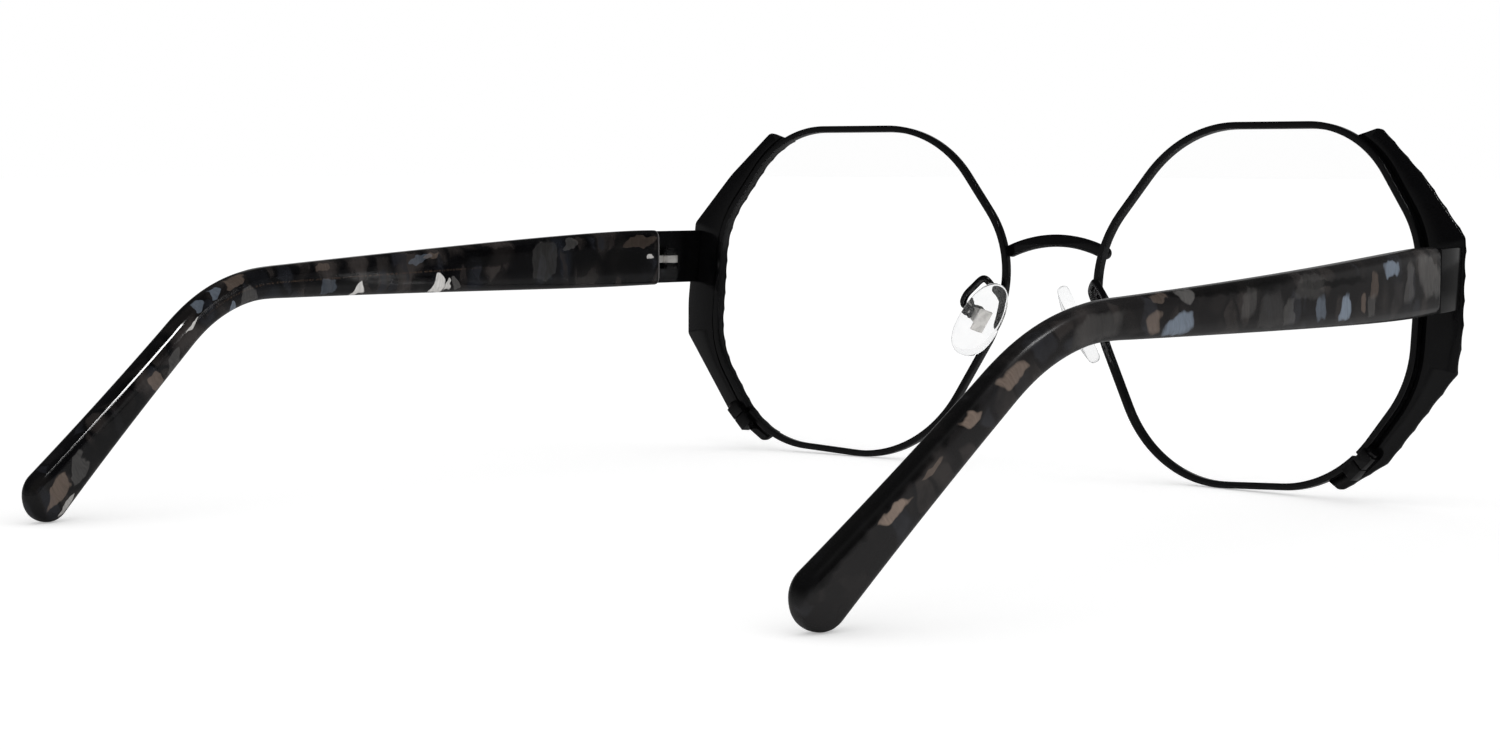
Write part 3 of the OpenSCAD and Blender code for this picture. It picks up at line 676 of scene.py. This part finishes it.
# %% The geometry tree for wire
def tree_named(name, inputs):
    """An empty geometry tree with named inputs, and its wires."""
    tree = bpy.data.node_groups.new(name, "GeometryNodeTree")
    tree.interface.new_socket("Geometry", in_out="INPUT", socket_type="NodeSocketGeometry")
    for label, kind in inputs:
        tree.interface.new_socket(label, in_out="INPUT", socket_type="NodeSocket" + kind)
    tree.interface.new_socket("Geometry", in_out="OUTPUT", socket_type="NodeSocketGeometry")
    wires = Wires(tree)
    return wires, wires.add("NodeGroupInput")


def tree_end(w, shape, given):
    """Instances made real, the finish set, and the result handed out."""
    real = w.add("GeometryNodeRealizeInstances", {}, {"Geometry": shape})
    dressed = w.add("GeometryNodeSetMaterial", {}, {"Geometry": real, "Material": given.other("Material")})
    w.end("NodeGroupOutput", "Geometry", dressed)
    return w.tree


def wire_tree():
    w, given = tree_named("wire_along_a_route", [
        ("Width", "Float"), ("Depth", "Float"), ("Corner", "Float"), ("Corner steps", "Int"),
        ("Material", "Material")])
    route = w.add("GeometryNodeMeshToCurve", {}, {"Mesh": given})
    level = w.add("GeometryNodeSetCurveNormal", {"mode": "Z_UP"}, {"Curve": route})
    section = w.add("GeometryNodeCurvePrimitiveQuadrilateral", {}, {
        "Width": given.other("Width"), "Height": given.other("Depth")})
    soft = w.add("GeometryNodeFilletCurve", {"mode": "POLY"}, {
        "Curve": section, "Count": given.other("Corner steps"), "Radius": given.other("Corner")})
    wire = w.add("GeometryNodeCurveToMesh", {}, {"Curve": level, "Profile Curve": soft, "Fill Caps": True})
    smooth = w.add("GeometryNodeSetShadeSmooth", {}, {"Geometry": wire, "Shade Smooth": True})
    return tree_end(w, smooth, given)


def grown(tree, mesh, **sizes):
    """Runs a tree on a mesh and returns the plain mesh that it makes."""
    bench = in_scene("bench", mesh)
    growth = bench.modifiers.new("growth", "NODES")
    growth.node_group = tree
    for item in tree.interface.items_tree:
        key = item.name.lower().replace(" ", "_")
        if item.item_type == "SOCKET" and item.in_out == "INPUT" and key in sizes:
            growth[item.identifier] = sizes[key]
    return settled(bench)


def route_mesh(points):
    """An open line of points in metres, as a mesh of edges."""
    mesh = bpy.data.meshes.new("route")
    mesh.from_pydata([tuple(p) for p in points], [(i, i + 1) for i in range(len(points) - 1)], [])
    return mesh


WIRE = wire_tree()


def wire(points, width, depth, corner):
    """Wire with a section in millimetres along a route of points in metres."""
    return grown(WIRE, route_mesh(points), width=width * MM, depth=depth * MM, corner=corner * MM,
                 corner_steps=5, material=BLACK)


print("tree", WIRE.name)

# %% [markdown]
# ## The eyewires
# Each rim is a square wire bent round the lens and slit at its lower outer corner, where the lock
# draws it shut. Its route is the opening moved out by half the wire, starting and ending at the
# slit. It is grown flat in the lens plane and then lifted into place.

# %% Eyewires
LOCK_ANGLE, RIM_CORNER = -46, 0.14
lock_arc = arcs_of(opening_corners(RIM_T))[6]
loop = even(opening(RIM_T / 2), 420)
nearest = int(np.argmin(np.linalg.norm(loop - beyond(lock_arc, LOCK_ANGLE, 0), axis=1)))
loop = np.roll(loop, -nearest - 1, axis=0)[:-1]
route = np.column_stack([loop, np.zeros(len(loop))]) * MM
rim_mesh = wire(route, RIM_T, RIM_D, RIM_CORNER)
size = np.ptp([v.co[:] for v in rim_mesh.vertices], axis=0) / MM
print("rim", size.round(2), "mm, flat")
rim_mesh.transform(LENS_PLACE)
pair("{side}_rim_wire", tidy(rim_mesh), BLACK, "front", ["{side}_eyewire"])

# %% [markdown]
# ## The lenses
# A show lens is a thin curved shell with its edge in the rim's groove. Rings of the opening's own
# outline, from the middle to the edge, carry both faces, and each ring is lifted by the curve of
# the lens.

# %% Lenses
LENS_T, LENS_CURVE, IN_GROOVE = 1.2, 250.0, 0.02
lens_middle = ((HALF_X + HALF_Y) / 2) ** 2 / (2 * LENS_CURVE)
edge_line = even(opening(IN_GROOVE), 180)


def lens_ring(share, side):
    flat = edge_line * share
    z = lens_middle + side * LENS_T / 2 - np.sum(flat ** 2, axis=1) / (2 * LENS_CURVE)
    return np.column_stack([flat, z]) * MM


shares = np.linspace(0.02, 1.0, 22)
lens_mesh = skin("lens", [lens_ring(s, 1) for s in shares] + [lens_ring(s, -1) for s in shares[::-1]])
lens_mesh.transform(LENS_PLACE)
pair("{side}_clear_lens", lens_mesh, LENS, "front", ["{side}_lens"])

# %% [markdown]
# ## The trim plates
# Each outer corner carries a crescent plate on the front of the rim, with a step behind it for the
# rim and a fluted face. The plate is a grid round the lens centre, since its inner edge, outer
# edge and flutes all follow directions from there. A second geometry tree presses the flutes in:
# it finds the nearest flute's direction and lowers the face by that flute's round.

# %% The plate's outline
PLATE_X, PLATE_END, PLATE_UP, PLATE_LOW = HALF_X + 6.6, 1.6, 10.2, 8.5
PLATE_BACK, PLATE_FRONT = RIM_D / 2 - 0.35, RIM_D / 2 + 0.85
PLATE_INSET, PLATE_STEP = 0.15, 1.8
upper_arc = arcs_of(opening_corners(RIM_T))[1]
upper_end = beyond(upper_arc, 54, PLATE_END + 1.1)
upper_mid = (np.array([PLATE_X, PLATE_UP]) + upper_end) / 2
upper_mid = beyond((upper_mid, 0), 46, 0.6)
plate_corners = [
    (0, 0, 1),  # the lens centre, then up the outside from the lower end: place and rounding
    (*beyond(lock_arc, -68, -1.8), 0.4), (*beyond(lock_arc, -61.5, PLATE_END + 0.3), 1.2),
    (*beyond(lock_arc, -39, PLATE_END + 1.5), 5), (PLATE_X, -PLATE_LOW, 1.2),
    (PLATE_X + 0.45, -PLATE_LOW / 3, 25), (PLATE_X, PLATE_UP, 1.2),
    (*upper_mid, 16), (*upper_end, 1.2), (*beyond(upper_arc, 67, -1.4), 0.4),
]
plate_line = even(rounded(plate_corners, 12), 3000)
beside = np.linalg.norm(plate_line, axis=1) > reach(opening(-0.2), directions(plate_line))
plate_line = plate_line[beside]
plate_turn = directions(plate_line)
turns = np.linspace(plate_turn.min(), plate_turn.max(), 3001)
wide = reach(plate_line, turns, closed=False) - reach(opening(PLATE_INSET), turns)
inside = turns[wide > 0.06]
print("plate runs from", np.degrees(inside[0]).round(1), "to", np.degrees(inside[-1]).round(1), "degrees")


# %% The flutes and the plates
def flute_tree():
    w, given = tree_named("pressed_flutes", [
        ("Pitch", "Float"), ("Depth", "Float"), ("Lean", "Float"), ("Start", "Float"),
        ("Flute radius", "Float"), ("Rim level", "Float"), ("Face level", "Float"),
        ("Material", "Material")])
    at = w.add("GeometryNodeInputPosition")
    x = w.add("ShaderNodeSeparateXYZ", {}, {0: at})
    y, z = x.other("Y"), x.other("Z")
    pitch = given.other("Pitch")
    direction = y.math("ARCTAN2", x)
    off_axis = direction - (direction / pitch).math("ROUND") * pitch
    from_centre = (x * x + y * y).math("SQRT")
    along, aside = from_centre * off_axis.math("COSINE"), from_centre * off_axis.math("SINE")
    floor_here = given.other("Depth") + (along - given.other("Start")) * given.other("Lean")
    pressed = (floor_here - aside * aside / (given.other("Flute radius") * 2)).most(0.0)
    share = z.step(given.other("Rim level"), given.other("Face level"))
    lowered = w.add("ShaderNodeCombineXYZ", {}, {0: x, 1: y, 2: z - pressed * share})
    shaped = w.add("GeometryNodeSetPosition", {}, {"Geometry": given, "Position": lowered})
    return tree_end(w, shaped, given)


PITCH, FLUTE_DEPTH, FLUTE_LEAN = math.radians(5.6), 0.2, math.tan(math.radians(2.6))
flute_r = (HALF_X * PITCH / 2) ** 2 / (2 * FLUTE_DEPTH)
angles = np.linspace(inside[0], inside[-1], 721)
r_out = reach(plate_line, angles, closed=False)
r_in = reach(opening(PLATE_INSET), angles)
r_step = np.minimum(reach(opening(PLATE_STEP), angles), r_out - 0.02)
ROUND = 0.16


def plate_ring(i):
    """One section of the plate, inwards along its back, up, and outwards over its face."""
    o, n, s = r_out[i], r_in[i], r_step[i]
    face, rim = PLATE_FRONT, RIM_D / 2
    edge = min(ROUND, (o - n) * 0.45)
    small = min(0.1, (o - n) * 0.2)
    section = [
        (o - small, PLATE_BACK), (s, PLATE_BACK), (s, rim),
        (n + small, rim), (n, rim + small), (n, face - small)]
    for t in (0.5, 1.05, math.pi / 2):
        section.append((n + small * (1 - math.cos(t)), face - small * (1 - math.sin(t))))
    section += [(n + small + (o - edge - n - small) * k / 7, face) for k in range(1, 7)]
    for t in np.linspace(0, math.pi / 2, 7):
        section.append((o - edge * (1 - math.sin(t)), face - edge * (1 - math.cos(t))))
    section.append((o, PLATE_BACK + small))
    c, d = math.cos(angles[i]), math.sin(angles[i])
    return [(r * c * MM, r * d * MM, z * MM) for r, z in section]


plate_mesh = skin("plate", [plate_ring(i) for i in range(len(angles))])
plate_mesh = grown(
    flute_tree(), plate_mesh, pitch=PITCH, depth=FLUTE_DEPTH * MM, lean=FLUTE_LEAN,
    start=HALF_X * MM, flute_radius=flute_r * MM, rim_level=RIM_D / 2 * MM,
    face_level=(PLATE_FRONT - ROUND) * MM, material=BLACK)
plate_mesh.transform(LENS_PLACE)
pair("{side}_fluted_plate", tidy(plate_mesh, 50), BLACK, "front", ["{side}_trim_plate"])

# %% [markdown]
# ## The bridge
# A flat bar is bent into a low arch and soldered to the front of both rims with its round ends
# lapped over them. Its outline is an arc with a width and round ends; a narrow bevel takes off the
# sharp edges, as polishing does before lacquer.

# %% Bridge
BRIDGE_H, BRIDGE_T, BRIDGE_TOP, BRIDGE_RISE, BRIDGE_BEVEL, LAP = 1.9, 1.2, 8.9, 1.6, 0.35, 0.7
half_span = HALF_PD - HALF_X - RIM_T + LAP
sag = BRIDGE_RISE * (half_span / (half_span - LAP / 2)) ** 2
bridge_r = (half_span ** 2 + sag ** 2) / (2 * sag)
swing = math.asin(half_span / bridge_r)
root = -(HALF_X + RIM_T / 2) * math.sin(WRAP) - RIM_D / 2 * math.cos(WRAP)


def arch(r, a):
    return (r * math.sin(a), BRIDGE_TOP - bridge_r + r * math.cos(a))


sweep = np.linspace(-swing, swing, 41)
outline = [arch(bridge_r + BRIDGE_H / 2, a) for a in sweep]
for side, turn in ((1, np.linspace(0, math.pi, 17)[1:-1]), (-1, np.linspace(math.pi, 2 * math.pi, 17)[1:-1])):
    if side == -1:
        outline += [arch(bridge_r - BRIDGE_H / 2, a) for a in sweep[::-1]]
    cx, cy = arch(bridge_r, side * swing)
    for t in turn:
        a = math.pi / 2 - side * swing - t
        outline.append((cx + BRIDGE_H / 2 * math.cos(a), cy + BRIDGE_H / 2 * math.sin(a)))
bridge_mesh = skin("bridge", [[(x * MM, y * MM, z * MM) for x, y in outline] for z in (0, BRIDGE_T)])
bridge_mesh = bevelled(bridge_mesh, BRIDGE_BEVEL, 4, 50)
bridge_mesh.transform(placed(
    ((1, 0, 0), UP, (0, -math.cos(TILT), -math.sin(TILT))),
    (0, root * math.cos(TILT), root * math.sin(TILT))))
piece("bridge_bar", tidy(bridge_mesh, 50), BLACK, "front", ["bridge"])

# %% [markdown]
# ## Straps, locks and hinges
# These small parts are milled or stamped, and the CAD model already has their true shape. Only the
# knife-sharp edges are wrong: tumbling and lacquer leave them slightly round. A merged copy of each
# CAD mesh, its flat faces made whole again and its edges bevelled, is quick and exact.


# %% Small metal parts with softened edges
def softened(node, width):
    """A copy of a CAD node's shape with its edges rounded by a width in millimetres."""
    bm = bmesh.new()
    bm.from_mesh(frame["nodes"][node].data)
    bmesh.ops.remove_doubles(bm, verts=bm.verts, dist=1e-6)
    bmesh.ops.dissolve_limit(bm, angle_limit=math.radians(1), verts=bm.verts, edges=bm.edges)
    bmesh.ops.recalc_face_normals(bm, faces=bm.faces)
    mesh = bpy.data.meshes.new(node)
    bm.to_mesh(mesh)
    bm.free()
    return tidy(bevelled(mesh, width, 3, 35), 50)


def milled(what, width, finish=BLACK, body="front"):
    """A pair of small parts with their edges softened by a width."""
    pair("{side}_soft_" + what, softened("left_" + what, width), finish, body, ["{side}_" + what])


pair("{side}_strap", softened("left_endpiece", 0.14), BLACK, "front", ["{side}_endpiece"])
milled("lock_upper", 0.12)
milled("lock_lower", 0.12)
milled("lock_screw", 0.05)
milled("hinge_front", 0.1)
milled("hinge_screw", 0.05)
milled("hinge_rear", 0.06, STEEL, "{side}_temple_arm")
milled("pad_box", 0.06)
milled("pad_screw", 0.04, STEEL)
milled("pad_insert", 0.06, STEEL, "{side}_pad")

# %% [markdown]
# ## The arms of the nose pads
# A round wire leaves the back of the rim beside the nose, rises in an arch and curls down into the
# pad's box. The route's bends are the CAD model's, smoothed finely, and the wire tree grows it.

# %% Pad arms
ARM_W, ARM_CORNER = 1.1, 0.549
PAD_AT = np.array([8.7, 3.8, -3.8])
PAD_TURN = [math.radians(a) for a in (20, -25, -35)]


def turned(axis, a):
    return np.array(Matrix.Rotation(a, 3, axis))


PAD_AXES = turned("Z", PAD_TURN[2]) @ turned("Y", PAD_TURN[1]) @ turned("X", PAD_TURN[0])


def on_pad(x, y, z):
    return PAD_AT + PAD_AXES @ np.array([x, y, z])


arm_root = np.array([HALF_PD, 0, 0]) + (-HALF_X - RIM_T / 2 + 0.35) * OUT - 0.6 * UP
arm_root = arm_root + (-RIM_D / 2 + 0.05) * FORE
arm_end = on_pad(3.92, 0, 0)
ARM = np.array([
    arm_root, arm_root + (-0.05, 0.8, 0.9), arm_root + (0.3, 1.8, 2.1), arm_end + (-1.4, -0.7, 4.7),
    arm_end + (0.1, -0.05, 3.4), arm_end + (1.3, 0.35, 2.0), on_pad(5.37, 1.1, -0.35), arm_end,
])


def through(p, steps):
    """A smooth curve through points."""
    p = np.vstack([p[:1], p, p[-1:]])
    line = []
    for i in range(len(p) - 3):
        a, b, c, d = p[i:i + 4]
        for t in np.arange(steps) / steps:
            square, cube = 2 * a - 5 * b + 4 * c - d, 3 * b - a - 3 * c + d
            line.append(0.5 * (2 * b + (c - a) * t + square * t * t + cube * t ** 3))
    return np.array(line + [p[-2]])


arm_line = even(through(ARM, 16), 90, closed=False)
arm_mesh = wire((arm_line + STAND) * MM, ARM_W, ARM_W, ARM_CORNER)
pair("{side}_pad_wire", tidy(arm_mesh, 60), BLACK, "front", ["{side}_pad_arm"])

# %% [markdown]
# ## The nose pads
# A pad is a blunt oval of silicone, domed towards the nose, with a thick round rim and a shallow
# dish on its back. Rings of the oval go from the middle of the nose side over the rim to the
# middle of the back.

# %% Nose pads
PAD_W, PAD_H, PAD_T, PAD_RIM, DISH = 6.8, 12.8, 2.6, 0.86, 0.25


def blunt(v):
    return np.sign(v) * np.abs(v) ** 0.86


around = np.linspace(0, 2 * np.pi, 72, endpoint=False)
oval_y = PAD_W / 2 * blunt(np.cos(around)) * (1 - 0.1 * np.sin(around))
oval_z = PAD_H / 2 * blunt(np.sin(around))
dome = (PAD_H ** 2 / 4 + PAD_T ** 2 / 4) / PAD_T + 4


def pad_x(share, side):
    """Height of the nose side (-1) or back (1) at a share of the way to the rim."""
    if side < 0:
        return -PAD_T / 2 + (share * PAD_H / 2) ** 2 / (2 * dome)
    return PAD_T / 2 - DISH * (1 - min(1.0, share / 0.8) ** 4)


profile = [(s, pad_x(s, -1)) for s in np.linspace(0.03, PAD_RIM, 10)]
low, high = pad_x(PAD_RIM, -1), pad_x(PAD_RIM, 1)
for t in np.linspace(0, math.pi, 13)[1:-1]:
    share = PAD_RIM + (1 - PAD_RIM) * math.sin(t) ** 0.8
    profile.append((share, (low + high) / 2 - (high - low) / 2 * math.cos(t)))
profile += [(s, pad_x(s, 1)) for s in np.linspace(PAD_RIM, 0.03, 12)]
pad_rings = [np.column_stack([np.full_like(oval_y, x), oval_y * s, oval_z * s]) * MM for s, x in profile]
pad_mesh = skin("pad", pad_rings, smooth=80)
pad_mesh.transform(placed(PAD_AXES.T, PAD_AT))
pair("{side}_silicone_pad", pad_mesh, SILICONE, "{side}_pad", ["{side}_nose_pad"])

# %% [markdown]
# ## The temples
# A temple starts as a strip of slab acetate, is milled thinner towards the bend, tumbled until its
# edges are round, and bent down behind the ear. Here one rounded section follows the same middle
# line: heading gives its turn inwards and pitch its bend downwards. Each point also keeps its place
# in the straight slab, for the marbling.

# %% The temple's middle line
LENGTH, STEPS = 136.0, 44
SPLAY, INWARD, BEND_AT, BEND_L, DROP, SLOPE = 10.0, 9.0, 80.5, 19.0, 37.6, 1.10835
TEMPLE_T, TIP_R, STRAP_Z, STRAP_L = 3.4, 3.7, 4.8, 9.7


def aim(s):
    """Direction of the temple at s millimetres from its front."""
    heading = math.radians(SPLAY - (SPLAY + INWARD) * min(1, max(0, s) / (BEND_AT + 18.5)) ** 0.85)
    pitch = SLOPE * max(0, min(1, s / 6)) + (DROP - SLOPE) * max(0, min(1, (s - BEND_AT) / BEND_L))
    pitch = math.radians(pitch)
    return np.array([
        math.sin(heading) * math.cos(pitch), math.cos(heading) * math.cos(pitch), -math.sin(pitch)])


strap_v = (STRAP_Z + PLATE_X * math.sin(WRAP) * math.sin(TILT)) / math.cos(TILT)
strap_start = np.array([HALF_PD, 0, 0]) + PLATE_X * OUT + strap_v * UP + PLATE_BACK * FORE
strap_start[2] = STRAP_Z
splay = math.radians(SPLAY)
temple_front = strap_start + STRAP_L * np.array([math.sin(splay), math.cos(splay), 0])
temple_front = temple_front - TEMPLE_T / 2 * np.array([math.cos(splay), -math.sin(splay), 0])
step_l = LENGTH / STEPS
middle = [temple_front]
for i in range(1, STEPS + 1):
    middle.append(middle[-1] + step_l * aim((i - 0.5) * step_l))
middle = through(np.array(middle), 8)
run = np.concatenate([[0], np.cumsum(np.linalg.norm(np.diff(middle, axis=0), axis=1))])
marks = run * LENGTH / run[-1]
print("temple ends", (middle[-1] + STAND).round(2), "mm")

# %% [markdown]
# The section is a rounded bar whose broad faces bulge a very little. Its height swells near the
# front, falls to the bend and grows again towards the ear, where the end is round.


# %% Temples
FRONT_H, FALL, SWELL, SWELL_AT, GROWTH = 9.0, 4.7, 0.6, 20, 3.1
CROWN, EDGE_R, FRONT_R = 0.08, 1.15, 0.3


def height_at(s):
    low = BEND_AT + 4.5
    growth = max(0, min(1, (s - low) / (LENGTH - low))) ** 2.2
    swell = SWELL * s / SWELL_AT * math.exp(1 - s / SWELL_AT)
    return FRONT_H - FALL * min(1, s / low) + swell + GROWTH * growth


def bar_section(w, h, r, crown):
    """A rounded bar, across by up, with broad faces that bulge by the crown."""
    section = []
    for k, (x_way, y_way) in enumerate(((1, 1), (-1, 1), (-1, -1), (1, -1))):
        cx, cy = (w / 2 - r) * x_way, (h / 2 - r) * y_way
        for a in np.radians(90 * k + np.linspace(0, 90, 8)):
            section.append((cx + r * math.cos(a), cy + r * math.sin(a)))
        if x_way == y_way:
            section += [(cx * (1 - 2 * t), h / 2 * y_way) for t in (0.33, 0.67)]
        else:
            section += [(w / 2 * x_way, cy * (1 - 2 * t)) for t in np.linspace(0, 1, 8)[1:-1]]
    section = np.array(section)
    x, y = section.T.copy()
    bulge = crown * np.clip(1 - (y / (h / 2)) ** 2, 0, 1) * np.clip(np.abs(x) / (w / 2), 0, 1) ** 4
    section[:, 0] += np.sign(x) * bulge
    return section


stations = [0.0, 0.03, 0.09, 0.18, FRONT_R] + list(np.linspace(0.8, LENGTH - TIP_R - 0.4, 230))
stations += [LENGTH - TIP_R + TIP_R * math.sin(math.radians(a)) for a in np.linspace(0, 86, 22)]
rings, slab = [], []
for s in stations:
    share = math.sqrt(1 - max(0, (s - LENGTH + TIP_R) / TIP_R) ** 2)
    pull = FRONT_R - math.sqrt(FRONT_R ** 2 - max(0, FRONT_R - s) ** 2)
    h = height_at(s) * share - 2 * pull
    t = TEMPLE_T * math.sqrt(share) - 2 * pull
    section = bar_section(t - 2 * CROWN * share, h, min(EDGE_R, 0.45 * min(t, h)), CROWN * share)
    d = aim(s)
    across = unit(np.cross(d, (0, 0, 1)))
    rise = np.cross(across, d)
    at = np.array([np.interp(s, marks, middle[:, k]) for k in range(3)]) + STAND
    rings.append((at + section[:, :1] * across + section[:, 1:] * rise) * MM)
    slab.append(np.column_stack([section[:, 0], np.full(len(section), s), section[:, 1]]))
slab = np.vstack(slab)
for side in SIDES:
    shape = skin("temple", rings, smooth=60)
    if side == "right":
        shape = mirrored(shape)
    place = shape.attributes.new("slab", "FLOAT_VECTOR", "POINT")
    shift = (0, 0 if side == "left" else APART, 0)
    place.data.foreach_set("vector", (slab + shift).astype(np.float32).ravel())
    piece(f"{side}_acetate_temple", shape, ACETATE, f"{side}_temple_arm", [f"{side}_temple"])

# %% [markdown]
# ## The cores
# The steel cores lie hidden inside the acetate. They stay the CAD model's own, and only get the
# steel, drawn along their length.

# %% Cores
CORE = steel("drawn_core_steel", (1.0, 0.08, 1.0))
for side in SIDES:
    core = frame["nodes"][f"{side}_core_wire"]
    core.data.materials.clear()
    core.data.materials.append(CORE)
    print(core.name, "in", CORE.name)

# %% [markdown]
# ## The studio
# The glasses stand on a white sweep that melts into a white background. The background's white is
# what the camera and clear things see, and it isn't what lights the object: that is a soft dome.
# The floor adds a little light of its own for them alone, so that it is white and still keeps the
# soft shadows. Black lacquer shows nothing but the room in it, so the room counts: dim walls and
# floor, a nearly black ceiling, a window beyond the glasses, a black screen at the camera's left
# and one long thin lamp overhead that draws fine lines.

# %% World and floor
WINDOW_WAY, SCREEN_WAY = (0.75, -0.66, 0.0), (-0.86, -0.5, 0.0)
WINDOW, WALLS, CEILING, SCREEN_SHUTS = 0.33, 0.14, 0.03, 0.88
DOME, FLOOR_GLOW, FAR = 0.78, 0.36, 6


def studio_world():
    world = bpy.data.worlds.new("white_studio")
    bpy.context.scene.world = world
    world.use_nodes = True
    world.node_tree.nodes.clear()
    w = Wires(world.node_tree)
    path = w.add("ShaderNodeLightPath", out="Is Camera Ray")
    direction = w.add("ShaderNodeTexCoord", out="Generated")
    height = w.add("ShaderNodeSeparateXYZ", {}, {0: direction}).other("Z")
    screen = w.facing(direction, SCREEN_WAY).step(0.78, 0.96)
    window = w.facing(direction, WINDOW_WAY).step(0.55, 0.98)
    room = (window * WINDOW + WALLS) * (1 - height.step(0.02, 0.4)) + CEILING
    room = room * (1 - screen * SCREEN_SHUTS)
    clear = path.most(path.other("Is Transmission Ray"))
    glossy = path.other("Is Glossy Ray")
    lit = (1 - clear.most(glossy)) * DOME
    strength = clear.most(glossy * room).most(lit)
    shade = w.add("ShaderNodeBackground", {}, {"Color": (1, 1, 1, 1), "Strength": strength})
    w.end("ShaderNodeOutputWorld", "Surface", shade)


def floor_finish():
    w, surface = finish_named("white_sweep")
    at = w.here()
    grain = w.noise(at, 300.0, 3.0)
    path = w.add("ShaderNodeLightPath", out="Is Camera Ray")
    clear = path.most(path.other("Is Transmission Ray"))
    white = w.between(grain, (0.88, 0.88, 0.88), (0.9, 0.9, 0.9))
    far = w.add("ShaderNodeVectorMath", {"operation": "LENGTH"}, {0: at}, out="Value").step(0.15, 0.5)
    mirrored_floor = w.between(far, (0.32, 0.32, 0.32), (0.1, 0.1, 0.1))
    in_gloss = path.other("Is Glossy Ray") * (1 - path.other("Is Transmission Ray"))
    paper = w.add("ShaderNodeBsdfDiffuse", {}, {"Color": w.between(in_gloss, white, mirrored_floor)})
    glow = w.add("ShaderNodeEmission", {}, {"Color": (1, 1, 1, 1), "Strength": clear * FLOOR_GLOW})
    return surface(w.add("ShaderNodeAddShader", {}, {0: paper, 1: glow}))


studio_world()
floor_mesh = bpy.data.meshes.new("floor")
floor_mesh.from_pydata([(-FAR, -FAR, 0), (FAR, -FAR, 0), (FAR, FAR, 0), (-FAR, FAR, 0)], [], [(0, 1, 2, 3)])
floor = in_scene("floor", floor_mesh)
floor_mesh.materials.append(floor_finish())
floor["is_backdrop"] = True
print("floor and background are white")

# %% Lamp
LAMP_AT, LAMP_AIM = np.array([-0.486, -0.14, 0.715]), np.array([0.06, 0.04, 0.02])
LAMP_ALONG, LAMP_SIZE, WATTS = (0.524, 0.565, 0.637), (0.022, 0.26), 0.7
light = bpy.data.lights.new("long_soft_lamp", "AREA")
light.shape, light.energy = "RECTANGLE", WATTS
light.size, light.size_y = LAMP_SIZE
lamp = in_scene(light.name, light)
toward = unit(LAMP_AT - LAMP_AIM)
beside_lamp = unit(np.cross(LAMP_ALONG, toward))
lamp.matrix_world = posed((beside_lamp, np.cross(toward, beside_lamp), toward), LAMP_AT)
lamp.visible_diffuse = False
bpy.context.scene.view_settings.view_transform = "Standard"
print(lamp.name, WATTS, "W")

# %% [markdown]
# ## Measure
# The CAD model's box is printed at the start, and the dressed glasses' box here.

# %% Sizes
seen_box = [list(corner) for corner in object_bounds()]
print("visual box in mm:", [[round(v / MM, 1) for v in corner] for corner in seen_box])
